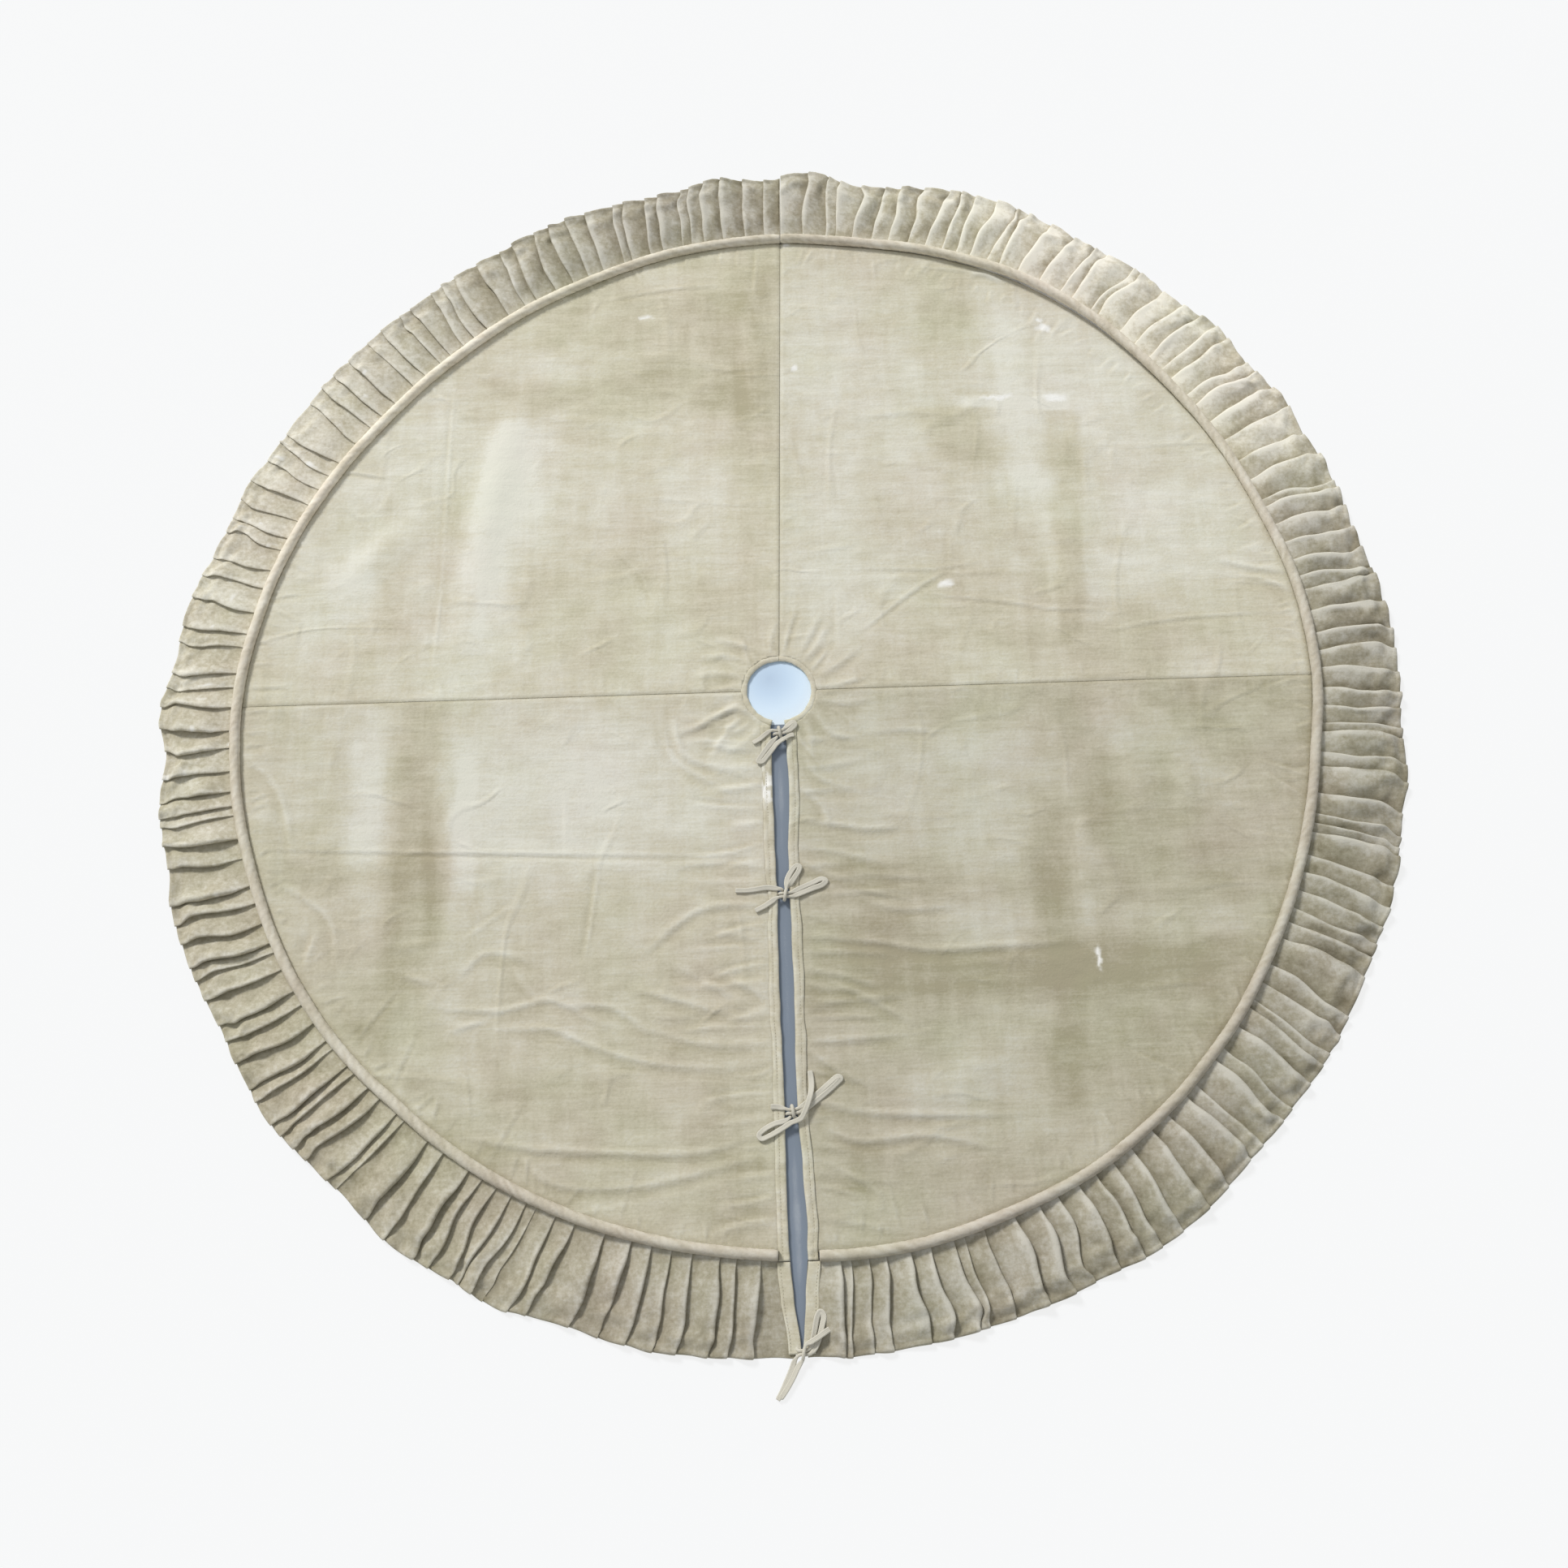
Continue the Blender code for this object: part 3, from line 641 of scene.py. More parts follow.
        # Folding has left thin broken creases, 80 to 200 mm long, mostly along the weft or the warp.
        normal = None
        directions = (((0, 0, 0), (4.5, 13, 8)), ((3, 7, 1), (13, 4.5, 8)), ((9, 2, 5), (11, 15, 9)))
        for shift, scale in directions if self.crumple else ():
            mapped = add_node(tree, "ShaderNodeMapping", {"Location": shift, "Scale": scale},
                              {"Vector": place.outputs["Object"]})
            waves = add_node(tree, "ShaderNodeTexNoise", {"Scale": 1.0, "Detail": 0.8, "Roughness": 0.35},
                             {"Vector": mapped.outputs["Vector"]})
            centred = add_node(tree, "ShaderNodeMath", {1: 0.5}, {0: waves.outputs["Fac"]}, operation="SUBTRACT")
            away = add_node(tree, "ShaderNodeMath", links={0: centred.outputs[0]}, operation="ABSOLUTE")
            line = add_node(tree, "ShaderNodeMapRange", {"From Min": 0.0, "From Max": 0.05, "To Min": 1.0,
                                                         "To Max": 0.0}, {"Value": away.outputs[0]},
                            interpolation_type="SMOOTHSTEP")
            breaks = add_node(tree, "ShaderNodeTexNoise", {"Scale": 1.1, "Detail": 1.5, "Roughness": 0.5},
                              {"Vector": mapped.outputs["Vector"]})
            kept = add_node(tree, "ShaderNodeMapRange", {"From Min": 0.5, "From Max": 0.68},
                            {"Value": breaks.outputs["Fac"]}, interpolation_type="SMOOTHSTEP")
            raised = add_node(tree, "ShaderNodeMath", links={0: line.outputs["Result"], 1: kept.outputs["Result"]},
                              operation="MULTIPLY")
            crease = add_node(tree, "ShaderNodeBump", {"Strength": 1.0, "Distance": self.crumple},
                              {"Height": raised.outputs[0]})
            if normal is not None:
                tree.links.new(normal, crease.inputs["Normal"])
            normal = crease.outputs["Normal"]
        pile = add_node(tree, "ShaderNodeBump", {"Strength": 0.6, "Distance": 0.0009},
                        {"Height": tufts.outputs["Fac"], **({"Normal": normal} if normal else {})})
        weft = add_node(tree, "ShaderNodeBump", {"Strength": 0.3, "Distance": 0.0005},
                        {"Height": streaks.outputs["Fac"], "Normal": pile.outputs["Normal"]})
        tree.links.new(weft.outputs["Normal"], shader.inputs["Normal"])
        shader.inputs["Roughness"].default_value = self.roughness
        shader.inputs["Specular IOR Level"].default_value = 0.15
        shader.inputs["Sheen Weight"].default_value = self.sheen
        shader.inputs["Sheen Roughness"].default_value = 0.45
        shader.inputs["Sheen Tint"].default_value = linear("FFFBF0")
        return made


@dataclass(frozen=True)
class PlainCotton:
    """Plain-woven cotton: matt, with a small over-and-under weave and slubs."""

    name: str
    ground: str
    thread: str
    threads_per_metre: float
    roughness: float = 0.9
    sheen: float = 0.08

    def build(self) -> bpy.types.Material:
        """Makes the material. The weave lies along the piece's own UV map, in metres."""
        made, tree, shader = new_material(self.name)
        place = add_node(tree, "ShaderNodeUVMap", uv_map="cloth")
        turns = self.threads_per_metre
        warp = add_node(tree, "ShaderNodeTexWave", {"Scale": turns / 20 * math.tau, "Distortion": 0.6,
                                                    "Detail": 2.0, "Detail Scale": 1.5},
                        {"Vector": place.outputs["UV"]}, bands_direction="X")
        weft = add_node(tree, "ShaderNodeTexWave", {"Scale": turns / 20 * math.tau, "Distortion": 0.6,
                                                    "Detail": 2.0, "Detail Scale": 1.5},
                        {"Vector": place.outputs["UV"]}, bands_direction="Y")
        weave = add_node(tree, "ShaderNodeMath", links={0: warp.outputs["Fac"], 1: weft.outputs["Fac"]},
                         operation="MULTIPLY")
        slubs = add_node(tree, "ShaderNodeTexNoise", {"Scale": 30.0, "Detail": 5.0, "Roughness": 0.6},
                         {"Vector": place.outputs["UV"]})
        share = add_node(tree, "ShaderNodeMath", {1: 0.5}, {0: weave.outputs[0], 2: slubs.outputs["Fac"]},
                         operation="MULTIPLY_ADD")
        mixed = add_node(tree, "ShaderNodeMix", links={"Factor": share.outputs[0]}, data_type="RGBA")
        mixed.inputs[6].default_value = linear(self.ground)
        mixed.inputs[7].default_value = linear(self.thread)
        tree.links.new(mixed.outputs[2], shader.inputs["Base Color"])
        bump = add_node(tree, "ShaderNodeBump", {"Strength": 0.5, "Distance": 0.0003}, {"Height": weave.outputs[0]})
        tree.links.new(bump.outputs["Normal"], shader.inputs["Normal"])
        shader.inputs["Roughness"].default_value = self.roughness
        shader.inputs["Specular IOR Level"].default_value = 0.2
        shader.inputs["Sheen Weight"].default_value = self.sheen
        return made


@dataclass(frozen=True)
class SewingThread:
    """Spun cotton sewing thread: a twisted, slightly lustrous strand."""

    name: str = "spun_cotton_thread"
    colour: str = "C3BCA6"
    shaded: str = "A39B84"

    def build(self) -> bpy.types.Material:
        """Makes the material, with the twist as fine slanting lines."""
        made, tree, shader = new_material(self.name)
        place = add_node(tree, "ShaderNodeTexCoord")
        twist = add_node(tree, "ShaderNodeTexWave", {"Scale": 700.0, "Distortion": 1.0},
                         {"Vector": place.outputs["Object"]}, bands_direction="DIAGONAL")
        mixed = add_node(tree, "ShaderNodeMix", links={"Factor": twist.outputs["Fac"]}, data_type="RGBA")
        mixed.inputs[6].default_value = linear(self.shaded)
        mixed.inputs[7].default_value = linear(self.colour)
        tree.links.new(mixed.outputs[2], shader.inputs["Base Color"])
        shader.inputs["Roughness"].default_value = 0.6
        return made


VELVET = CottonVelvet("cotton_velvet_champagne")
# The ruffle's velvet has darker tones than the disc's: partly its pile's direction, partly painted shade of its pleats.
RUFFLE_VELVET = CottonVelvet("cotton_velvet_ruffle", dark="9A9279", middle="BEB7A1", pale="E1DDCF", painted_shade_tone="6B6249",
                             sheen=0.12, grain=0.5, clumps=2.2, clumps_per_metre=200.0, crumple=0.0)
WELT_VELVET = CottonVelvet("cotton_velvet_bias_strip", dark="ABA28D", middle="C8C0AE", pale="DDD8CA", sheen=0.08,
                           crumple=0.0,
                           grain=0.15)
LINING = PlainCotton("plain_weave_cotton_lining", "D9D0B8", "E6DFCC", 260)
TIE = PlainCotton("cotton_sateen_tie_tape", "BEB9A9", "D6D2C5", 900, roughness=0.78, sheen=0.2)
CORD = PlainCotton("twisted_cotton_piping_cord", "DED8C6", "EFEBDF", 350)


# ---------------------------------------------------------------- meshes


@dataclass
class Workshop:
    """Makes meshes from bmesh grids and gives each piece its finish."""

    materials: dict[str, bpy.types.Material] = field(default_factory=dict)

    def finish_of(self, finish: CottonVelvet | PlainCotton | SewingThread) -> bpy.types.Material:
        """The material of a finish, made once."""
        if finish.name not in self.materials:
            self.materials[finish.name] = finish.build()
        return self.materials[finish.name]

    def link(self, name: str, shape: bmesh.types.BMesh, finish: CottonVelvet | PlainCotton | SewingThread
             ) -> bpy.types.Object:
        """Turns a bmesh in metres into a linked, smooth-shaded object."""
        mesh = bpy.data.meshes.new(name)
        shape.to_mesh(mesh)
        shape.free()
        mesh.shade_smooth()
        mesh.materials.append(self.finish_of(finish))
        made = bpy.data.objects.new(name, mesh)
        bpy.context.scene.collection.objects.link(made)
        return made

    def surface(self, name: str, rows: int, columns: int, points: Array, facts: dict[str, Array],
                finish: CottonVelvet | PlainCotton, cloth: Array | None = None, seam: bool = False,
                capped: bool = False, keep: Array | None = None, upwards: bool = False) -> bpy.types.Object:
        """A grid of rows by columns of points, moved to where they are told.

        Args:
            name: The piece's name.
            rows: Points along the first direction.
            columns: Points along the second direction.
            points: The places, row by row, in millimetres.
            facts: Point attributes to store, by name.
            finish: The piece's finish.
            cloth: Two coordinates a point along the cloth, in millimetres, for its UV map.
            seam: Whether the first and last column are the same line, as round a tube.
            capped: Whether the tube's two ends are closed.
            keep: Which points stay, where some are left out.
            upwards: Whether the faces have to point up.

        Returns:
            The object.
        """
        shape = bmesh.new()
        bmesh.ops.create_grid(shape, x_segments=columns - 1, y_segments=rows - 1, size=1)
        layers = {key: shape.verts.layers.float.new(key) for key in facts}
        lists = {key: np.asarray(values, float).tolist() for key, values in facts.items()}
        for number, (vertex, place) in enumerate(zip(shape.verts, (points * MM).tolist())):
            vertex.co = place
            for key, layer in layers.items():
                vertex[layer] = lists[key][number]
        if cloth is not None:
            uv = shape.loops.layers.uv.new("cloth")
            flat = (cloth * MM).tolist()
            shape.verts.index_update()
            for face in shape.faces:
                for loop in face.loops:
                    loop[uv].uv = flat[loop.vert.index]
        if keep is not None:
            bmesh.ops.delete(shape, geom=[v for v, stays in zip(list(shape.verts), keep) if not stays],
                             context="VERTS")
        if seam:
            bmesh.ops.remove_doubles(shape, verts=shape.verts, dist=1e-6)
            if capped:
                bmesh.ops.holes_fill(shape, edges=shape.edges, sides=0)
        bmesh.ops.recalc_face_normals(shape, faces=shape.faces)
        if upwards and sum(face.normal.z for face in shape.faces) < 0:
            bmesh.ops.reverse_faces(shape, faces=shape.faces)
        return self.link(name, shape, finish)

    def tube(self, name: str, line: Array, sections: Array, finish: CottonVelvet | PlainCotton,
             facts: dict[str, Array] | None = None, level: float = 0.0, capped: bool = True) -> bpy.types.Object:
        """A tube swept along a line.

        Args:
            name: The piece's name.
            line: The centreline's points, in millimetres.
            sections: For each point of the line, the ring as (across, up) offsets.
            finish: The piece's finish.
            facts: Point attributes, one value for each ring point.
            level: How strongly the ring is kept level, from 0 to 1 a step.
            capped: Whether its ends are closed.

        Returns:
            The object.
        """
        ahead = np.gradient(line, axis=0)
        ahead /= np.linalg.norm(ahead, axis=1)[:, None]
        across = np.cross(ahead[0], (0, 0, 1.0))
        across /= np.linalg.norm(across)
        rings = []
        for centre, forward, ring in zip(line, ahead, sections):
            across = across - forward * (across @ forward)
            across /= np.linalg.norm(across)
            flat = np.cross(forward, (0, 0, 1.0))
            size = np.linalg.norm(flat)
            if level and size > 0.4:
                wanted = flat / size * (1 if flat @ across >= 0 else -1)
                across = across + level * (wanted - across)
                across /= np.linalg.norm(across)
            up = np.cross(across, forward)
            rings.append(centre + ring[:, :1] * across + ring[:, 1:] * up)
        rings = np.array(rings)
        rings = np.concatenate([rings, rings[:, :1]], axis=1)
        count, around = rings.shape[:2]
        run = np.concatenate([[0], np.cumsum(np.linalg.norm(np.diff(line, axis=0), axis=1))])
        girth = np.concatenate([[0], np.cumsum(np.linalg.norm(np.diff(rings[count // 2], axis=0), axis=1))])
        cloth = np.stack(np.broadcast_arrays(run[:, None], girth[None]), axis=2).reshape(-1, 2)
        wrapped = {
            key: np.concatenate([value, value[:, :1]], axis=1).ravel() for key, value in (facts or {}).items()
        }
        return self.surface(name, count, around, rings.reshape(-1, 3), wrapped, finish, cloth, True, capped)

    def stitches(self, name: str, line: Array, pitch: float, long: float, wide: float, high: float
                 ) -> bpy.types.Object:
        """A row of stitches along a line.

        Args:
            name: The piece's name.
            line: The row's points, in millimetres.
            pitch: From one stitch to the next.
            long: A stitch's length.
            wide: A stitch's width.
            high: How thick the thread stands.

        Returns:
            The object.
        """
        places = respaced(line, pitch)
        shape = bmesh.new()
        for before, after in zip(places, places[1:]):
            ahead = Vector(after - before).normalized()
            turn = ahead.to_track_quat("X", "Z").to_matrix().to_4x4()
            size = Matrix.Diagonal((long / 2 * MM, wide / 2 * MM, high / 2 * MM, 1))
            middle = Matrix.Translation(Vector((before + after) / 2 * MM))
            bmesh.ops.create_icosphere(shape, subdivisions=1, radius=1, matrix=middle @ turn @ size)
        return self.link(name, shape, SewingThread())


def solidify(piece: bpy.types.Object, thickness: float) -> None:
    """Gives a sheet its thickness, downwards from the faces."""
    cloth = piece.modifiers.new("cloth", "SOLIDIFY")
    cloth.thickness = thickness * MM
    cloth.offset = -1
    cloth.use_even_offset = False


def fold_with(piece: bpy.types.Object) -> None:
    """Bakes a piece's transform into its mesh."""
    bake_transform(piece)


# ---------------------------------------------------------------- the disc


@dataclass
class DiscPanel:
    """One velvet quarter of the disc, with the lining under it."""

    quarter: Quarter
    relief: Relief
    thickness: float = 1.2
    cells: int = 214
    lining_cells: int = 84
    lining_thickness: float = 0.6
    first_rows: tuple[float, ...] = (0, 0.9, 2.0, 3.4, 5.2, 7.4)
    flat_side: float = 0.67
    flat_area: float = 0.336

    # How deep the painted shade beside the welt is at each angle in degrees.
    GROOVE = ((0, 0.42), (30, 0.15), (60, 0.0), (90, 0.1), (120, 0.08), (150, 0.0), (180, 0.0), (210, 0.12),
              (240, 0.14), (270, 0.16), (300, 0.16), (330, 0.28), (360, 0.42))

    def grid(self, cells: int, from_slit: float) -> tuple[Array, Array, Array, Array, Array]:
        """A square grid bent to the quarter, with finer rows beside the seams.

        Args:
            cells: Cells along a side.
            from_slit: How far the cloth stays back from the slit's edge.

        Returns:
            x and y of each point, its radius, which points stay, and its distances from the seams.
        """
        rows = np.concatenate([self.first_rows, np.linspace(10, PANEL_OUTER, cells - len(self.first_rows) + 1)])
        share = rows / PANEL_OUTER
        v, u = (part.ravel() for part in np.meshgrid(share, share, indexing="ij"))
        across = u * np.sqrt(1 - v**2 / 2)
        along = v * np.sqrt(1 - u**2 / 2)
        radius = PANEL_OUTER * np.hypot(across, along)
        turn = np.arctan2(along, across) / (math.pi / 2)
        inside = radius < PANEL_INNER
        step = PANEL_OUTER / cells
        stays = radius > PANEL_INNER - 1.1 * step
        radius = np.where(inside, PANEL_INNER, radius)
        start, end = self.quarter.ends(radius, from_slit)
        lies = laid_out(radius, start + (end - start) * turn)
        start, end = self.quarter.ends(lies, from_slit)
        angle = start + (end - start) * turn
        lies = laid_out(radius, angle)
        from_seam = np.stack([lies * np.sin((angle - start)), lies * np.sin(end - angle)])
        return lies * np.cos(angle), lies * np.sin(angle), radius, stays, from_seam

    def velvet_height(self, relief: Array, radius: Array, from_seam: Array) -> Array:
        """The height of the velvet's top, turned down at each sewn edge."""
        edge = np.minimum(from_seam[0], from_seam[1])
        bound = np.minimum(radius - PANEL_INNER, PANEL_OUTER - radius)
        slit = from_seam[1] if self.quarter.slit_side < 0 else from_seam[0]
        level = np.minimum(smoothstep(-1, 9, edge), smoothstep(-2, 8, bound))
        if self.quarter.slit_side:
            level = np.minimum(level, smoothstep(10, 20, slit))
        height = VELVET_TOP + 0.5 + level * (relief - 0.1)
        height -= 1.0 * np.exp(-((edge / 2.4) ** 2))
        height -= 1.2 * np.exp(-(((PANEL_OUTER - radius) / 5.5) ** 2))
        if self.quarter.slit_side:
            height = np.where(slit < 12.5, np.minimum(height, VELVET_TOP), height)
        return height

    def build(self, workshop: Workshop) -> list[bpy.types.Object]:
        """Makes the panel and its lining."""
        quarter = self.quarter
        x, y, radius, stays, from_seam = self.grid(self.cells, 1.5)
        relief, creased = self.relief.height(x, y)
        height = self.velvet_height(relief, radius, from_seam)
        count = math.isqrt(len(x))
        edge = np.minimum(from_seam[0], from_seam[1])
        groove = along_table(self.GROOVE, np.degrees(np.arctan2(y, x)) % 360)
        facts = {
            # Painted light: crease ridges paler and their valleys darker, on top of the pile's tone.
            "nap": nap_tone(x, y, quarter) + 0.26 * np.clip(creased, -1.2, 1.2),
            # Painted light: each quarter's brightness, a little darker towards the front.
            "value": QUARTER_PAINTED_LIGHT[quarter.name] * (1 + 0.05 * np.clip(y / PANEL_OUTER, -1, 1)),
            "worn": worn_share(x, y),
            # Painted shade: darker along the seams, beside the welt, and where the welt stands up.
            "painted_shade": 0.22 * np.exp(-((edge / 1.6) ** 2)) + groove * np.exp(-(((PANEL_OUTER - radius) / 5) ** 2))
            + 0.13 * stands_up(np.arctan2(y, x)) * np.exp(-(((PANEL_OUTER - radius) / 14) ** 2)),
        }
        points = np.stack([x, y, height], axis=1)
        panel = workshop.surface(f"velvet_panel_{quarter.name}", count, count, points, facts, VELVET,
                                 np.stack([x, y], axis=1), keep=stays, upwards=True)
        solidify(panel, self.thickness)
        lining = self.build_lining(workshop)
        for piece, node, slot in ((panel, "velvet", Slot.VELVET), (lining, "lining", Slot.LINING)):
            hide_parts(f"{node}_{quarter.name}")
            fold_with(piece)
        return [panel, lining]

    def build_lining(self, workshop: Workshop) -> bpy.types.Object:
        """The plain cotton under the velvet, almost flat on the floor."""
        x, y, _, stays, from_seam = self.grid(self.lining_cells, 3.0)
        edge = np.minimum(from_seam[0], from_seam[1])
        rise = 0.35 + 0.22 * lattice_noise(x, y, 70, 55, 61) + 0.12 * lattice_noise(x, y, 26, 18, 62)
        height = self.lining_thickness + 0.08 + np.clip(rise, 0, 0.7) * smoothstep(0, 8, edge)
        count = math.isqrt(len(x))
        lining = workshop.surface(f"lining_panel_{self.quarter.name}", count, count,
                                  np.stack([x, y, height], axis=1), {}, LINING, np.stack([x, y], axis=1),
                                  keep=stays, upwards=True)
        solidify(lining, self.lining_thickness)
        return lining


# ---------------------------------------------------------------- the welt, the ruffle and the bindings


@dataclass(frozen=True)
class Half:
    """A half of the skirt's rim, from the rear seam to the slit, counter-clockwise from start to end."""

    name: str
    start: float
    end: float
    front: Body
    seed: int

    @property
    def side(self) -> int:
        """-1 on the left and 1 on the right."""
        return -1 if self.front is Body.LEFT else 1


HALVES = (
    Half("left", REAR_SEAM, SLIT, Body.LEFT, 71),
    Half("right", SLIT, REAR_SEAM + math.tau, Body.RIGHT, 72),
)


@dataclass
class Welt:
    """The corded welt round the disc: a bias strip of velvet over a twisted cord."""

    half: Half
    spacing: float = 2.2
    sides: int = 20
    twist_pitch: float = 8.0
    seam_gap: float = 0.25
    slit_gap: float = 12.6
    thread_inset: float = 9.0
    thread_height: float = 2.6
    stitch: tuple[float, float, float, float] = (3.6, 2.4, 0.5, 0.5)
    # How the light falls on the welt at each angle in degrees.
    LIGHT = ((0, 0.88), (30, 1.15), (60, 1.25), (90, 1.12), (120, 1.38), (150, 1.45), (180, 1.15), (210, 1.05),
             (240, 1.02), (270, 0.93), (300, 0.84), (330, 0.84), (360, 0.88))

    def line(self, end_gap: float = 0.0) -> Array:
        """The welt's centreline, which wanders a little and stands up at the rear right."""
        cut = self.slit_gap + float(slit_edge(self.half.side, np.array(WELT_RING_RADIUS)))
        start, end = self.half.start, self.half.end
        slit, seam = (cut + end_gap) / WELT_RING_RADIUS, (self.seam_gap + end_gap) / WELT_RING_RADIUS
        start, end = (start + seam, end - slit) if self.half.side < 0 else (start + slit, end - seam)
        count = round((end - start) * WELT_RING_RADIUS / self.spacing) + 1
        angle = np.linspace(start, end, count)
        radius = welt_radius(angle) + 0.7 * lattice_noise(angle * 660, 0 * angle, 60, 1, self.half.seed)
        height = WELT_HEIGHT + 0.1 * lattice_noise(angle * 660, 0 * angle, 45, 1, self.half.seed + 5)
        height = height + 5.0 * stands_up(angle)
        return np.stack([radius * np.cos(angle), radius * np.sin(angle), height], axis=1)

    def build(self, workshop: Workshop) -> list[bpy.types.Object]:
        """Makes the cover, the cord inside it and the stitching beside it."""
        line = self.line()
        count = len(line)
        around = np.linspace(0, math.tau, self.sides, endpoint=False)
        run = np.arange(count)[:, None] * self.spacing
        tip = np.minimum(np.arange(count), np.arange(count)[::-1])[:, None] * self.spacing
        size = WELT_RADIUS * (0.9 + 0.1 * smoothstep(0, 4, tip))
        size = size * (1 + 0.03 * np.sin(math.tau * run / self.twist_pitch + 2 * around))
        size = size + 0.25 * lattice_noise(run + 0 * around, 7 * around + 0 * run, 22, 9, self.half.seed)
        size = size + 0.3 * lattice_noise(run + 9 * around, 7 * around + 0 * run, 7, 6, self.half.seed + 2)
        sections = np.stack([size * np.cos(around), size * np.sin(around)], axis=2)
        shape = np.ones((count, self.sides))
        grain = lattice_noise(run + 0 * around, 9 * around + 0 * run, 60, 12, self.half.seed + 9)
        ridges = lattice_noise(run + 9 * around, 7 * around + 0 * run, 6, 8, self.half.seed + 11)
        light = along_table(self.LIGHT, np.degrees(np.arctan2(line[:, 1], line[:, 0])) % 360)[:, None] * shape
        facts = {"nap": 0.1 * shape + 0.3 * grain + 0.5 * ridges, "value": light, "worn": 0 * shape,
                 "painted_shade": 0 * shape}
        cover = workshop.tube(f"welt_strip_{self.half.name}", line, sections, WELT_VELVET, facts, level=1.0)
        inner = self.line(end_gap=2.0)
        lay = 4.1 * (1 + 0.05 * np.sin(3 * (around[None, :12] * 20 / 12 + math.tau * np.arange(len(inner))[:, None]
                                            * self.spacing / 30)))
        twelve = np.linspace(0, math.tau, 12, endpoint=False)
        cord = workshop.tube(f"piping_cord_{self.half.name}", inner,
                             np.stack([lay * np.cos(twelve), lay * np.sin(twelve)], axis=2), CORD, level=1.0)
        thread = self.build_stitching(workshop)
        for piece, node, slot in ((cover, "welt_cover", Slot.VELVET), (cord, "welt_cord", Slot.CORD)):
            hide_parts(f"{node}_front_{self.half.name}", f"{node}_rear")
        for piece in (cover, cord, thread):
            fold_with(piece)
        return [cover, cord, thread]

    def build_stitching(self, workshop: Workshop) -> bpy.types.Object:
        """The row that sews the welt to the disc."""
        line = self.line(end_gap=1.0)
        angle = np.unwrap(np.arctan2(line[:, 1], line[:, 0]))
        radius = np.hypot(line[:, 0], line[:, 1]) - self.thread_inset
        height = np.full(len(angle), self.thread_height)
        row = np.stack([radius * np.cos(angle), radius * np.sin(angle), height], axis=1)
        return workshop.stitches(f"welt_stitching_{self.half.name}", row, *self.stitch)


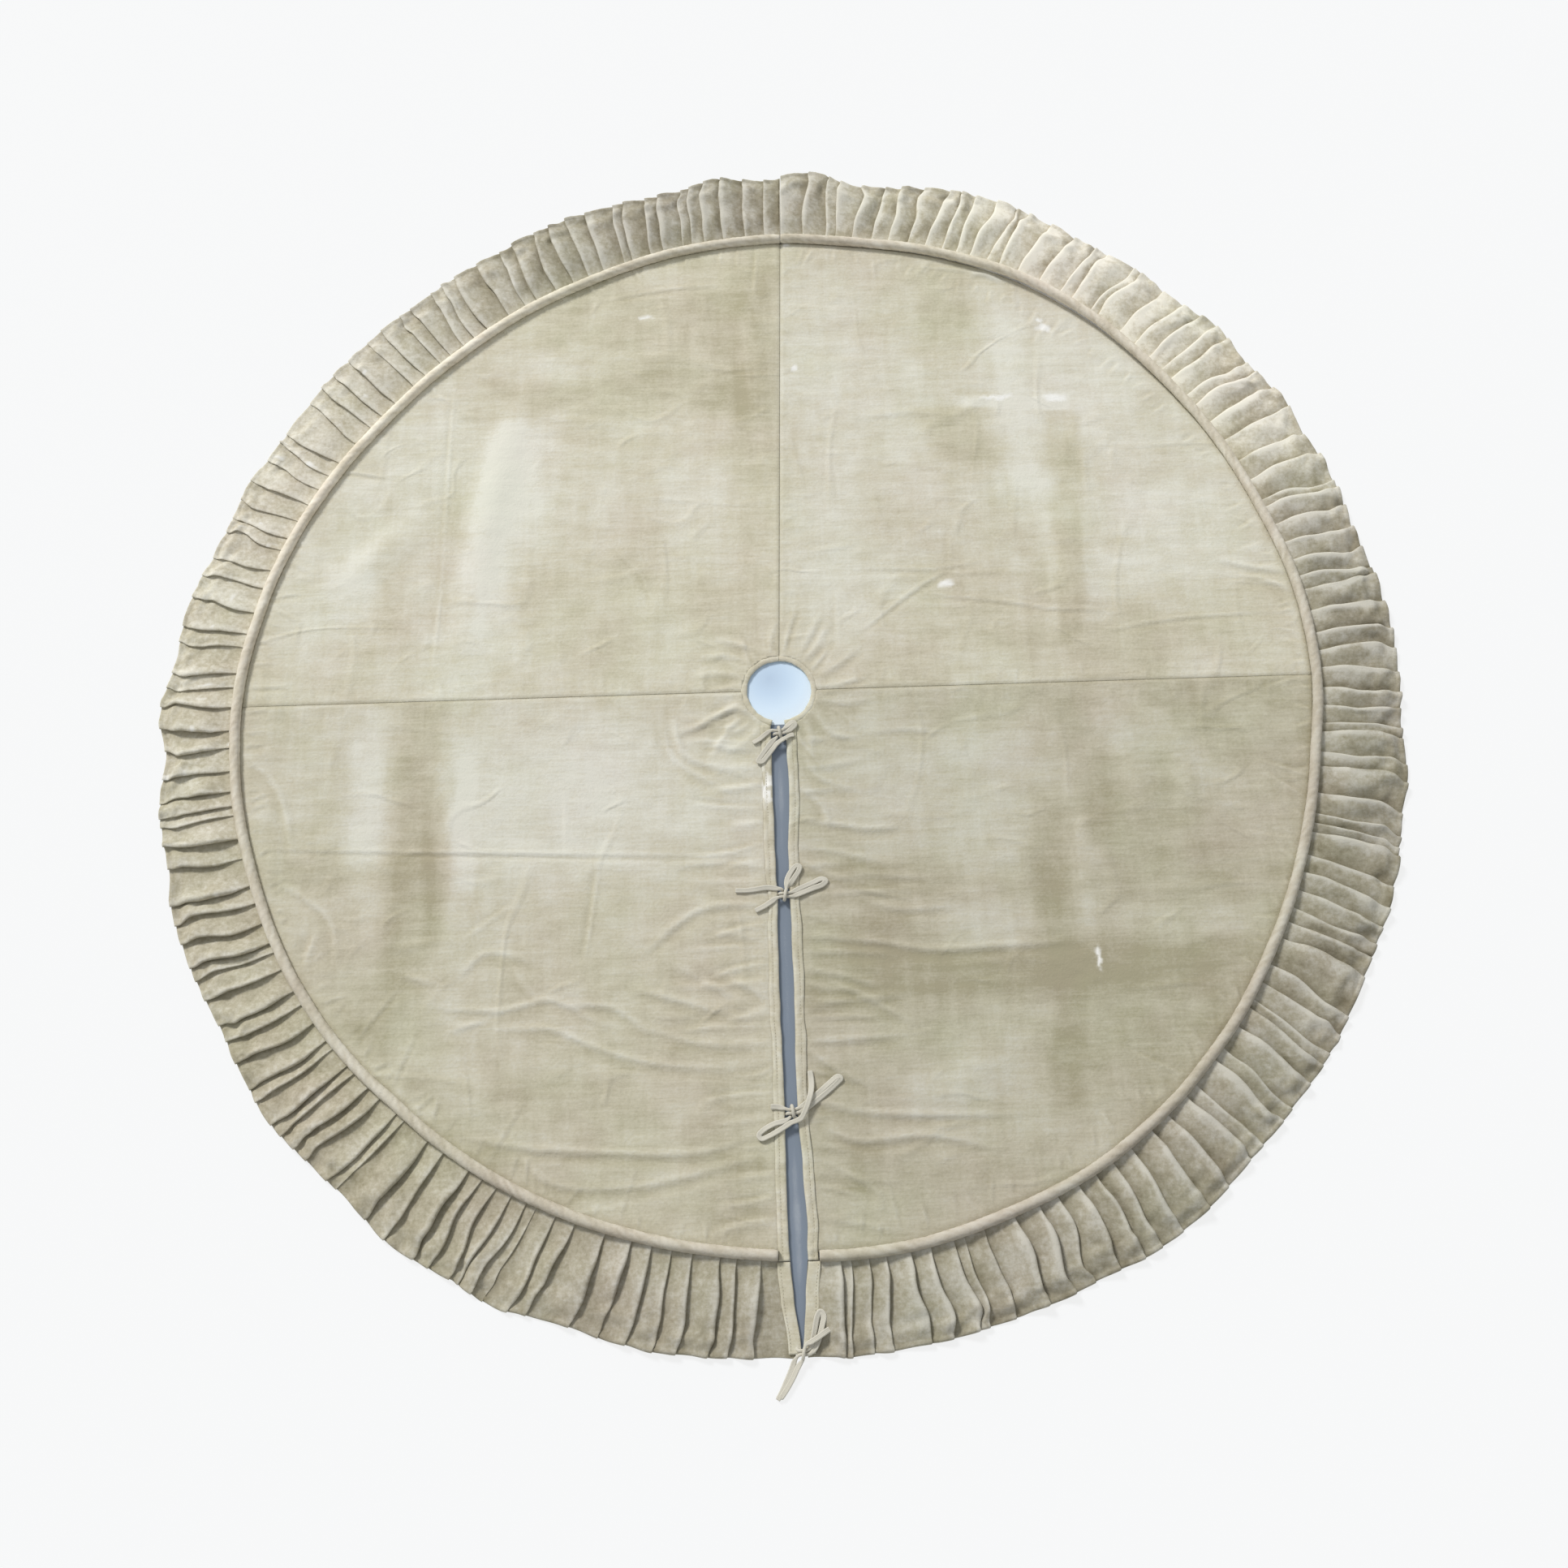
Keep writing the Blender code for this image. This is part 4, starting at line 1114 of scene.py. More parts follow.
@dataclass
class Ruffle:
    """Half of the ruffle: one folded strip of velvet, gathered into knife pleats that lean counter-clockwise."""

    half: Half
    pitch: float = 27.0
    top_rows: int = 46
    edge_rows: int = 5
    under_rows: int = 5
    middle_radius: float = 720.0
    slit_flat: tuple[float, float] = (46.0, 14.0)

    # One pleat, counter-clockwise: (share of its pitch, share of its height, painted highlight on its ridge,
    # painted shade in its valley).
    PROFILE = (
        (0.0, 0.0, 0.0, 1.0), (0.07, 0.02, 0.0, 0.9), (0.16, 0.10, 0.0, 0.55), (0.27, 0.26, 0.0, 0.25),
        (0.40, 0.45, 0.0, 0.08), (0.53, 0.62, 0.0, 0.0), (0.66, 0.76, 0.0, 0.0), (0.78, 0.87, 0.1, 0.0),
        (0.88, 0.94, 0.4, 0.0), (0.96, 0.985, 0.85, 0.0), (1.02, 1.0, 1.0, 0.0), (1.07, 0.95, 0.6, 0.05),
        (1.09, 0.82, 0.1, 0.4), (1.08, 0.60, 0.0, 0.8), (1.05, 0.34, 0.0, 1.0), (1.02, 0.12, 0.0, 1.0),
    )
    # How wide the valleys gape, from 0 to 1, at each angle in degrees.
    GAPE = ((0, 0.4), (40, 0.1), (85, 0.4), (110, 0.2), (140, 0.1), (165, 0.1), (185, 0.4), (205, 0.6), (230, 0.6),
            (255, 0.45), (264, 0.4), (275, 0.35), (300, 0.35), (330, 0.25), (360, 0.4))
    # How strongly the pleats' tone varies, and their painted highlights and shade show, at each angle.
    CONTRAST = ((0, 1.6), (20, 1.5), (45, 1.2), (75, 1.5), (100, 1.3), (135, 0.8), (165, 0.6), (185, 0.75), (225, 0.8),
                (262, 0.9), (300, 1.3), (330, 1.5), (360, 1.6))
    # How full the pleats stand at each angle.
    BODY = ((0, 1.0), (20, 0.95), (40, 0.8), (60, 0.8), (85, 1.0), (115, 0.85), (135, 0.5), (150, 0.35), (165, 0.4),
            (182, 0.65), (205, 0.85), (225, 0.8), (250, 0.65), (275, 0.8), (300, 1.0), (330, 1.0), (360, 1.0))
    # How the light falls on the ruffle at each angle.
    LIGHT = ((0, 0.76), (15, 0.88), (30, 1.14), (50, 1.2), (65, 1.2), (78, 1.02), (92, 0.82), (108, 0.82), (122, 0.9),
             (137, 1.0), (155, 1.1), (170, 1.08), (195, 0.98), (225, 0.93), (245, 0.82), (262, 0.75), (285, 0.72),
             (330, 0.72), (345, 0.72), (360, 0.78))
    # How pale the ruffle's pile looks at each angle in degrees.
    PALENESS = ((0, 0.0), (35, 0.4), (60, 0.5), (80, 0.2), (110, 0.1), (140, 0.35), (165, 0.25), (190, 0.0),
                (225, -0.3), (250, -0.1), (275, 0.0), (310, 0.0), (335, -0.1), (360, 0.0))

    def pleats(self, rng: np.random.Generator, run: float) -> list[tuple[float, float, float]]:
        """The pleats along the strip.

        Args:
            rng: Source of the uneven spacing.
            run: The strip's gathered length.

        Returns:
            (start, pitch, height) of each.
        """
        flat_left, flat_right = self.slit_flat
        first = flat_right if self.half.side > 0 else 2.0
        last = run - (flat_left if self.half.side < 0 else 2.0)
        pitches: list[float] = []
        while sum(pitches) < last - first:
            pitches.append(self.pitch * float(rng.choice((0.5, 0.75, 0.92, 1.05, 1.2, 1.4),
                                                         p=(0.09, 0.17, 0.25, 0.25, 0.16, 0.08))))
        scale = (last - first) / sum(pitches)
        made, at = [], first
        for pitch in pitches:
            pitch *= scale
            made.append((at, pitch, float(np.clip(0.27 * pitch + rng.uniform(0.5, 3.6), 4.5, 11.5))))
            at += pitch
        return made

    def columns(self, rng: np.random.Generator, run: float) -> tuple[Array, Array, Array]:
        """The strip's columns.

        Args:
            rng: Source of the uneven pleats.
            run: The strip's gathered length.

        Returns:
            Where each column starts from, its pleat's number, and rows of (share, rise, bloom, shade, height,
            pitch).
        """
        rows: list[tuple[float, ...]] = []
        pleats = self.pleats(rng, run)
        first, last = pleats[0][0], pleats[-1][0] + pleats[-1][1]
        for k in range(5):
            rows.append((first * k / 5, 0, 0, 0, 0, 0, 0, 20))
        for number, (start, pitch, height) in enumerate(pleats):
            rows += [(start, number, *profile, height, pitch) for profile in self.PROFILE]
        beyond = 14 if self.half.side < 0 else 2
        for k in range(beyond + 1):
            rows.append((last + (run - last) * k / beyond, len(pleats), 0, 0, 0, 0, 0, 20))
        table = np.array(rows)
        return table[:, 0], table[:, 1], table[:, 2:].T

    def build(self, workshop: Workshop) -> list[bpy.types.Object]:
        """Makes the strip."""
        half = self.half
        seed = half.seed
        run = (half.end - half.start) * self.middle_radius
        base, number, (share, level, ridge_highlight, shade, lift, pitch) = self.columns(np.random.default_rng(seed), run)
        spread = base + np.minimum(share, 1.0) * pitch
        degrees = np.degrees(half.start + (half.end - half.start) * spread / run) % 360
        each = number[None] + 0 * np.ones((self.top_rows + self.edge_rows + self.under_rows, 1))
        gape = along_table(self.GAPE, degrees)[None]
        gape = gape * np.clip(0.8 + 1.1 * lattice_noise(each * 9.1, 0 * each, 1, 1, seed + 13), 0.05, 1.5)
        lift = lift * along_table(self.BODY, degrees)

        top, edge, under = self.top_rows, self.edge_rows, self.under_rows
        v = np.concatenate([np.linspace(0, 0.94, top), np.full(edge, 0.94), np.linspace(0.94, 0, under)])[:, None]
        round_edge = np.linspace(0, math.pi, edge + 2)[1:-1]
        turn = np.concatenate([np.zeros(top), round_edge, np.full(under, math.pi)])[:, None]
        width = v * RUFFLE_WIDTH
        across = spread[None] + 0 * width

        def noise(cell_along: float, cell_out: float, number: int) -> Array:
            return lattice_noise(across, width + 0 * across, cell_along, cell_out, seed + number)

        # Pinched at the welt, fullest in the middle, drawn in again towards the outer edge.
        fullness = (0.34 + 0.66 * smoothstep(0.0, 0.35, v)) * (1 - 0.35 * smoothstep(0.7, 1.0, v))
        fullness = fullness * np.clip(1 + 0.35 * lattice_noise(each * 7.3, width, 5, 34, seed + 1), 0.5, 1.4)
        short = smoothstep(0.5, 0.9, lattice_noise(each * 3.1, 0 * each, 1, 1, seed + 2))
        late = smoothstep(0.5, 0.9, lattice_noise(each * 3.7, 0 * each, 1, 1, seed + 12))
        fullness = fullness * (1 - 0.75 * short * smoothstep(0.35, 0.75, v))
        fullness = fullness * (1 - 0.7 * late * smoothstep(0.6, 0.1, v))
        valley = 1 + 1.6 * gape * np.sin(math.pi * np.clip(v * 1.02, 0, 1)) ** 0.8
        rise = np.power(level[None], valley)

        from_start, from_end = spread, run - spread
        free = (smoothstep(0, 70, from_start) * smoothstep(0, 70, from_end))[None]
        sway = -7.0 * v + 8.5 * smoothstep(0, 0.8, v) * noise(37, 55, 3) + 4.5 * v**2 * noise(130, 200, 4)
        sway = sway + 3.0 * smoothstep(0.5, 1.0, v) * noise(17, 14, 5)
        sway = sway + 2.2 * np.sin(math.pi * np.clip(v, 0, 1)) * noise(29, 30, 14)
        overhang = np.maximum(share - 1.0, 0)[None] * pitch[None] * np.clip(fullness * 1.5, 0, 1.4)
        place = spread[None] + overhang * (1 - smoothstep(0.0, math.pi, turn)) + sway * free

        pleated = np.where(lift > 0, 1.0, 0.3)[None]
        height = 1.5 + fullness * lift[None] * rise
        height = height + (0.9 * noise(9, 40, 6) + 0.5 * noise(5, 14, 7)) * smoothstep(0.0, 0.25, v)
        height = height + (3.4 * noise(14, 11, 8) + 1.1 * noise(7, 7, 15)) * smoothstep(0.45, 0.92, v)
        height = height + 1.0 * noise(26, 30, 11)
        height = height + pleated * 2.2 * smoothstep(0.08, 0.5, v) * (1 + 0.5 * noise(95, 400, 9))
        calm = smoothstep(0, 24, from_end if half.side < 0 else from_start)[None]
        height = 1.4 + (np.maximum(height, 1.2) - 1.4) * (0.22 + 0.78 * calm)
        height = np.minimum(height, 14.5)

        angle = self.kept_clear(half.start + (half.end - half.start) * place / run, self.middle_radius)
        inner = welt_radius(angle) + 4.4
        outline = ruffle_radius(angle) + 1.6 * lattice_noise(across, 0 * across, 21, 1, seed + 10) + 1.2 * (rise - 0.6)
        floor, bulge = 0.35, 5.0
        thick = (height - floor) / 2
        radius = inner + (outline - bulge - inner) * v / 0.94 + bulge * np.sin(turn)
        z = np.where(turn > 0, floor + thick * (1 + np.cos(turn)), height)
        z = z - smoothstep(0.78, 0.94, v) * (turn == 0) * 0.25 * (z - floor)
        angle = self.kept_clear(angle, radius)
        x, y = radius * np.cos(angle), radius * np.sin(angle)

        nap = along_table(self.PALENESS, degrees)[None] + 0.16 * lattice_noise(each * 5.7, 0 * each, 1, 1, seed + 20)
        contrast = along_table(self.CONTRAST, degrees)[None]
        # Random tone, and painted light: each pleat paler towards its top and darker towards its valley.
        nap = nap + contrast * (0.3 * noise(16, 30, 21) + 0.25 * noise(6, 8, 22) + 0.3 * (level[None] - 0.5))
        crisp = np.clip(fullness * 1.3, 0, 1) * (1 - 0.4 * smoothstep(0.75, 1.0, v)) * (0.8 + 0.35 * noise(30, 40, 24))
        # Painted highlight along each pleat's ridge.
        nap = nap + 0.75 * contrast * ridge_highlight[None] * crisp
        # Painted shade in each pleat's valley and under its overhang.
        painted_shade = shade[None] * crisp * (0.26 + 0.36 * gape) * contrast
        # Painted light at the root round 285 degrees; painted shade along the root elsewhere, and in spots near the
        # outer edge.
        lit_root = np.exp(-(((degrees - 285) / 50) ** 2))[None] * (1 - smoothstep(0.02, 0.1, v))
        nap = nap + 0.55 * lit_root
        painted_shade = painted_shade * (1 - 0.6 * lit_root) + 0.1 * (1 - smoothstep(0.0, 0.06, v)) * (1 - lit_root)
        painted_shade = painted_shade + 0.3 * contrast * smoothstep(0.7, 0.94, v) * np.clip(noise(11, 8, 25), 0, 1)
        wear = smoothstep(0.72, 0.95, noise(7, 12, 23)) * smoothstep(0.5, 0.9, level)[None]
        wear = wear * 0.9 * np.exp(-(((degrees - 160) / 38) ** 2))[None]
        value = along_table(self.LIGHT, degrees)[None]
        facts = {key: (fact + 0 * across).ravel() for key, fact in
                 (("nap", nap), ("value", value), ("worn", wear), ("painted_shade", np.clip(painted_shade, 0, 0.9)))}
        unfolded = np.cumsum(np.hypot(np.diff(spread, prepend=0), np.diff(level * lift, prepend=0)))
        cloth = np.stack(np.broadcast_arrays(unfolded[None], width), axis=2).reshape(-1, 2)
        ruffle = workshop.surface(f"ruffle_strip_{half.name}", len(v), len(spread),
                                  np.stack([x, y, z], axis=2).reshape(-1, 3), facts, RUFFLE_VELVET, cloth)
        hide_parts(f"ruffle_rear_{half.name}", f"ruffle_front_{half.name}")
        fold_with(ruffle)
        return [ruffle]

    def kept_clear(self, angle: Array, radius: Array | float) -> Array:
        """The angles, with the strip's ends held to the slit's edge and the rear seam."""
        half = self.half
        cut = np.arcsin(np.clip(slit_edge(half.side, np.asarray(radius)), 0.8, None) / radius)
        seam = 0.3 / radius
        low, high = (seam, cut) if half.side < 0 else (cut, seam)
        return np.clip(angle, half.start + low, half.end - high)


@dataclass
class HoleBinding:
    """Half of the turned edge round the trunk hole: a narrow pale roll, drawn in by its stitching."""

    half: Half
    spacing: float = 1.6
    sides: int = 16
    outwards: float = 0.6
    rise: float = 2.3
    half_width: float = 3.8
    half_height: float = 1.95

    def build(self, workshop: Workshop) -> list[bpy.types.Object]:
        """Makes the roll."""
        half = self.half
        middle = (HOLE_RADIUS + HOLE_BINDING_OUTER) / 2 + self.outwards
        cut = (float(slit_edge(half.side, np.array(46.0))) - 0.8) / middle
        start, end = (half.start, half.end - cut) if half.side < 0 else (half.start + cut, half.end)
        count = round((end - start) * middle / self.spacing) + 1
        angle = np.linspace(start, end, count)
        run = angle * middle
        radius = middle + 0.35 * lattice_noise(run, 0 * run, 14, 1, half.seed + 30)
        line = np.stack([radius * np.cos(angle), radius * np.sin(angle),
                         self.rise + 0.35 * lattice_noise(run, 0 * run, 9, 1, half.seed + 31)], axis=1)
        around = np.linspace(0, math.tau, self.sides, endpoint=False)
        pucker = 1 + 0.12 * lattice_noise(run[:, None], 0 * run[:, None], 4.2, 1, half.seed + 32)
        across = np.cos(around)[None] * self.half_width * pucker
        up = np.sin(around)[None] * self.half_height * pucker
        sections = np.stack([across, up], axis=2)
        shape = np.ones((count, self.sides))
        mottle = lattice_noise(run[:, None] + 0 * across, 6 * around[None] + 0 * across, 13, 5, half.seed + 33)
        facts = {"nap": 0.05 + 0.35 * mottle, "value": 0.97 * shape, "worn": 0 * shape, "painted_shade": 0 * shape}
        roll = workshop.tube(f"hole_roll_{half.name}", line, sections, VELVET, facts, level=1.0)
        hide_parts(f"hole_binding_front_{half.name}", "hole_binding_rear")
        fold_with(roll)
        return [roll]


@dataclass
class SlitBinding:
    """The turned hem along one edge of the slit, and the hem of the ruffle's end below it."""

    half: Half
    spacing: float = 2.2
    stitch_inset: float = 7.2
    stitch: tuple[float, float, float, float] = (3.6, 2.5, 0.75, 0.6)
    slit_ends: tuple[float, float] = (46.5, 675.0)
    ruffle_ends: tuple[float, float] = (676.0, 771.0)

    # The hem's section: (distance from the slit's edge, height), from the floor up and over.
    SECTION = ((0.35, 0.25), (0.0, 1.6), (0.05, 3.0), (0.6, 4.2), (1.8, 4.8), (3.4, 4.95), (5.2, 4.8), (6.6, 4.5),
               (7.3, 4.35), (8.2, 4.5), (9.8, 4.35), (11.2, 3.95), (12.3, 3.5), (11.4, 3.35), (8.0, 3.3), (4.0, 3.3),
               (1.9, 3.15), (1.5, 2.0), (1.45, 0.3))
    HEM_SECTION = ((0.2, 2.5), (0.0, 3.0), (0.4, 3.8), (1.6, 4.1), (5.0, 3.95), (9.5, 3.8), (11.2, 3.55), (12.0, 3.8),
                   (13.2, 3.7), (14.0, 3.1), (13.6, 2.5), (7.0, 2.4))

    def strip(self, workshop: Workshop, name: str, first: float, last: float, section: Sequence[Sequence[float]],
              wave: float) -> bpy.types.Object:
        """A hem of this section along the slit's edge.

        Args:
            workshop: Makes the mesh.
            name: The piece's name.
            first: Where it starts, from the middle of the hole.
            last: Where it ends.
            section: The section's points.
            wave: How much it rises and falls.

        Returns:
            The object.
        """
        side, seed = self.half.side, self.half.seed
        along = np.linspace(first, last, round((last - first) / self.spacing) + 1)
        edge = slit_edge(side, along) + self.wander(along)
        shape = np.array(section, float)
        shape = np.concatenate([shape, shape[:1]])
        count, around = len(along), len(shape)
        narrow = 1 + 0.11 * lattice_noise(along, 0 * along, 26, 1, seed + 41)[:, None]
        across = edge[:, None] + shape[None, :, 0] * narrow
        lift = wave * self.lift(along)[:, None]
        height = shape[None, :, 1] + lift * smoothstep(0.5, 3.4, shape[:, 1])[None]
        ripple = 0.3 * lattice_noise(along[:, None] + 0.7 * across, across, 6, 5, seed + 43)
        height = height + ripple * smoothstep(3.2, 4.0, shape[:, 1])[None]
        points = np.stack([side * across, -along[:, None] + 0 * across, height], axis=2).reshape(-1, 3)
        tone = 0.06 + 0.34 * lattice_noise(along[:, None] + 0 * across, across, 22, 7, seed + 44)
        tone = tone + 0.25 * lattice_noise(along[:, None] + 0.7 * across, across, 6, 5, seed + 43)
        # Painted shade in the groove of the hem's stitching.
        groove = np.exp(-(((shape[:, 0] - 7.3) / 0.9) ** 2))[None] + 0 * across
        facts = {"nap": tone.ravel(), "value": np.full(count * around, 0.93), "worn": self.wear(along, across),
                 "painted_shade": 0.12 * groove.ravel()}
        cloth = np.stack(np.broadcast_arrays(along[:, None], shape[None, :, 0]), axis=2).reshape(-1, 2)
        return workshop.surface(name, count, around, points, facts, VELVET, cloth, seam=True, capped=True)

    def wander(self, along: Array) -> Array:
        """How far the hem's edge strays from the slit's line at each point along it."""
        return 0.75 * lattice_noise(along, 0 * along, 19, 1, self.half.seed + 40)

    def lift(self, along: Array) -> Array:
        """How the hem rises and falls along the slit, as a share of its wave."""
        return lattice_noise(along, 0 * along, 13, 1, self.half.seed + 42) + 0.6

    def wear(self, along: Array, across: Array) -> Array:
        """Where the hem is worn pale: in ragged spots on the left one, just below the first bow."""
        spots = lattice_noise(along[:, None] + 0 * across, across, 5, 3, self.half.seed + 45)
        where = np.exp(-(((along - 128) / 22) ** 2))[:, None] * (1.0 if self.half.side < 0 else 0.15)
        return (smoothstep(0.05, 0.5, spots) * where).ravel()

    def build(self, workshop: Workshop) -> list[bpy.types.Object]:
        """Makes the slit's binding, the ruffle's end hem, and their stitching."""
        side, name, body = self.half.side, self.half.name, self.half.front.value
        binding = self.strip(workshop, f"slit_hem_{name}", *self.slit_ends, self.SECTION, 0.5)
        hem = self.strip(workshop, f"ruffle_end_hem_{name}", *self.ruffle_ends, self.HEM_SECTION, 0.25)
        rows = []
        for row, first, last, inset, high, wave in (("slit", 52, 672, self.stitch_inset, 4.4, 0.5),
                                                    ("ruffle_hem", 678, 768, 11.2, 3.7, 0.25)):
            along = np.linspace(first, last, 200)
            line = np.stack([side * (slit_edge(side, along) + self.wander(along) + inset), -along,
                             high + wave * self.lift(along)], axis=1)
            rows.append(workshop.stitches(f"{row}_stitching_{name}", line, *self.stitch))
        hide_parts(f"slit_binding_{name}")
        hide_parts(f"ruffle_hem_{name}")
        for piece in (binding, hem, *rows):
            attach(piece, body)
        return [binding, hem, *rows]


# ---------------------------------------------------------------- the bows

# The bows' routes, as the CAD model has them: across and along from the knot, and height above the floor.
CORE_OUT = ((-3, -2.1, 6.0), (3, -2.1, 6.0))
CORE_BACK = ((3.5, 2.1, 6.0), (-3.5, 2.1, 6.0))
LEFT_LEAD = ((-6.4, -2.2, 2.2), (-5.7, -2.2, 4.1), (-4.6, -2.1, 5.5))
RIGHT_LEAD = ((6.4, -9.6, 2.2), (5.8, -9.1, 4.2), (4.4, -7.9, 5.9))
WRAP = (
    (2.4, -6.4, 6.8), (1.8, -4.5, 9.2), (1.0, 0, 10.6), (0.4, 4.5, 9.2), (-0.1, 6.5, 6.0),
    (-0.7, 4.4, 2.8), (-1.2, 0, 2.0), (-1.8, -4.4, 2.7), (-2.6, -6.8, 5.4),
)
Route = tuple[tuple[float, float, float], ...]


def mirrored(points: Route) -> Route:
    """The same points on the other side of the knot, so that a bow lies the other way up."""
    return tuple((across, -along, height) for across, along, height in points)


@dataclass(frozen=True)
class Bow:
    """A bow: the knot's place, and the routes of its left and its right tie."""

    knot: tuple[float, float]
    left: Route
    right: Route


BOWS = (
    Bow(
        (-2.5, -56),
        (*LEFT_LEAD, *CORE_OUT,
         (9, -0.5, 6.4), (16, 4, 6.4), (20.5, 9.5, 6.4), (18, 12.5, 6.4), (13, 9.5, 6.4), (7.5, 4.6, 6.4),
         *CORE_BACK, (-9, 2.2, 6.4), (-15, -1.5, 6.4), (-23, -8, 6.2), (-32, -13, 5.6)),
        (*RIGHT_LEAD, *WRAP,
         (-8, -12, 6.6), (-16, -22, 6.5), (-24, -33, 6.4), (-26, -37.5, 6.4), (-21.5, -38, 6.4),
         (-15, -31, 6.5), (-8, -22, 6.6), (-3, -15.8, 7.2), (3, -12, 9.6), (8, -9, 8.8),
         (14, -5, 6.8), (19, -4, 6.4)),
    ),
    Bow(
        (-2.5, -262),
        (*mirrored(LEFT_LEAD), *mirrored(CORE_OUT),
         (9, 3.2, 6.4), (20, 8, 6.4), (34, 14, 5.8), (45, 18.5, 5.4), (50, 16, 5.4), (46, 11.5, 5.4),
         (34, 7, 5.8), (20, 1.5, 6.4), (10, -1.8, 6.4),
         *mirrored(CORE_BACK), (-9, -3.5, 6.5), (-16, -8, 6.5), (-25, -13.5, 6.3), (-35, -18, 5.6)),
        ((6.2, 9.6, 2.2), (5.9, 10.6, 4.8), (8.5, 14.5, 6.7), (13, 21, 6.6), (18, 29, 6.5),
         (19.5, 34, 6.4), (15.5, 35.5, 6.4), (9.5, 29, 6.5), (4.5, 20, 6.8), (2.8, 12, 6.9),
         *mirrored(WRAP), (-9, 8, 6.4), (-20, 9.5, 6.4), (-34, 8, 5.6), (-46, 7, 5.4), (-58, 7.5, 5.4)),
    ),
    Bow(
        (-2.5, -514),
        (*LEFT_LEAD, *CORE_OUT,
         (10, -0.7, 6.4), (24, 8, 6.4), (40, 20, 5.6), (53, 31, 5.4), (57, 35.5, 5.4), (53.5, 37.5, 5.4),
         (43, 30, 5.5), (30, 19, 5.9), (16, 8.2, 6.4), (8.5, 3.8, 6.4),
         *CORE_BACK, (-9, 3.5, 6.4), (-16, 5.5, 6.4), (-24, 6, 6.4)),
        (*RIGHT_LEAD, *WRAP,
         (-9, -10.5, 6.5), (-20, -13, 6.5), (-32, -19, 6.1), (-38, -25, 5.4), (-35.5, -29, 5.4),
         (-27, -26.5, 6.1), (-16, -21, 6.6), (-7, -15.8, 6.8), (-1, -12.6, 8.0), (4.5, -11, 9.4),
         (10, -8.4, 9.6), (14.5, -1, 10.7), (18, 7, 10.8), (21, 16, 10.6), (23, 26, 8.2),
         (23, 36, 6.0), (22, 45, 5.4)),
    ),
    Bow(
        (0, -769.5),
        ((-6, 7.0, 2.0), (-5.9, 4.4, 3.5), (-4.8, 2.6, 5.2), *mirrored(CORE_OUT),
         (7.5, 4.2, 6.3), (11, 12, 6.4), (14, 24, 6.4), (17, 36, 6.4), (20.5, 41, 6.4), (24, 37.5, 6.4),
         (22, 27, 6.4), (18, 14, 6.4), (13, 3.5, 6.4), (8, -1.2, 6.2),
         *mirrored(CORE_BACK), (-8, -6, 5.0), (-12, -15, 3.6), (-17.5, -27, 2.9), (-23, -37.5, 2.8),
         (-28.5, -46.5, 2.7)),
        ((30, 23, 6.4), (24, 19.5, 9.4), (17, 15, 10.8), (9, 10.5, 10.6), (4.6, 8.6, 9.6),
         (2.4, 5.4, 9.6), (1.0, 0, 10.6), (0.4, -4.5, 9.2), (-0.4, -7.4, 6.2),
         (-5.5, -14, 5.6), (-11.5, -25, 4.2), (-18.5, -36, 3.9), (-25.5, -45, 3.0)),
    ),
)


@dataclass
class Tie:
    """One tie of a bow: a narrow tape, rolled tight in the knot and flat in its tail and loop."""

    number: int
    half: Half
    spacing: float = 0.9
    sides: int = 16
    knot_reach: float = 9.0
    knot_width: float = 3.7
    knot_thickness: float = 3.3
    tape_width: float = 6.2
    tape_thickness: float = 2.5

    def build(self, workshop: Workshop) -> list[bpy.types.Object]:
        bow = BOWS[self.number - 1]
        route = bow.left if self.half.side < 0 else bow.right
        line = respaced(smooth_line(route, 8), self.spacing)
        from_knot = np.linalg.norm(line - np.array((0, 0, 6.0)), axis=1)
        loose = smoothstep(self.knot_reach * 0.75, self.knot_reach * 1.7, from_knot)[:, None]
        run = np.arange(len(line))[:, None] * self.spacing
        seed = 300 + 10 * self.number + self.half.side
        vary = 1 + 0.08 * lattice_noise(run, 0 * run, 14, 1, seed)
        tip = smoothstep(-0.5, 2.0, run[::-1])
        wide = (self.knot_width + (self.tape_width - self.knot_width) * loose) / 2 * vary * (0.8 + 0.2 * tip)
        thick = (self.knot_thickness + (self.tape_thickness - self.knot_thickness) * loose) / 2 * (0.6 + 0.4 * tip)
        around = np.linspace(0, math.tau, self.sides, endpoint=False)[None]
        across = wide * np.sign(np.cos(around)) * np.abs(np.cos(around)) ** 0.85
        dent = 1 - 0.55 * loose * np.exp(-((np.cos(around) / 0.42) ** 2))
        up = thick * np.sin(around) * dent
        roll = 0.35 * loose * lattice_noise(run, 0 * run, 26, 1, seed + 3)
        sections = np.stack([across * np.cos(roll) - up * np.sin(roll), across * np.sin(roll) + up * np.cos(roll)],
                            axis=2)
        placed = line + np.array((*bow.knot, 0.0))
        side = self.half.name
        tie = workshop.tube(f"bow_{self.number}_tie_{side}", placed, sections, TIE, level=0.25)
        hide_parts(f"tie_{self.number}_{side}")
        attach(tie, self.half.front.value)
        return [tie]


# ---------------------------------------------------------------- the studio


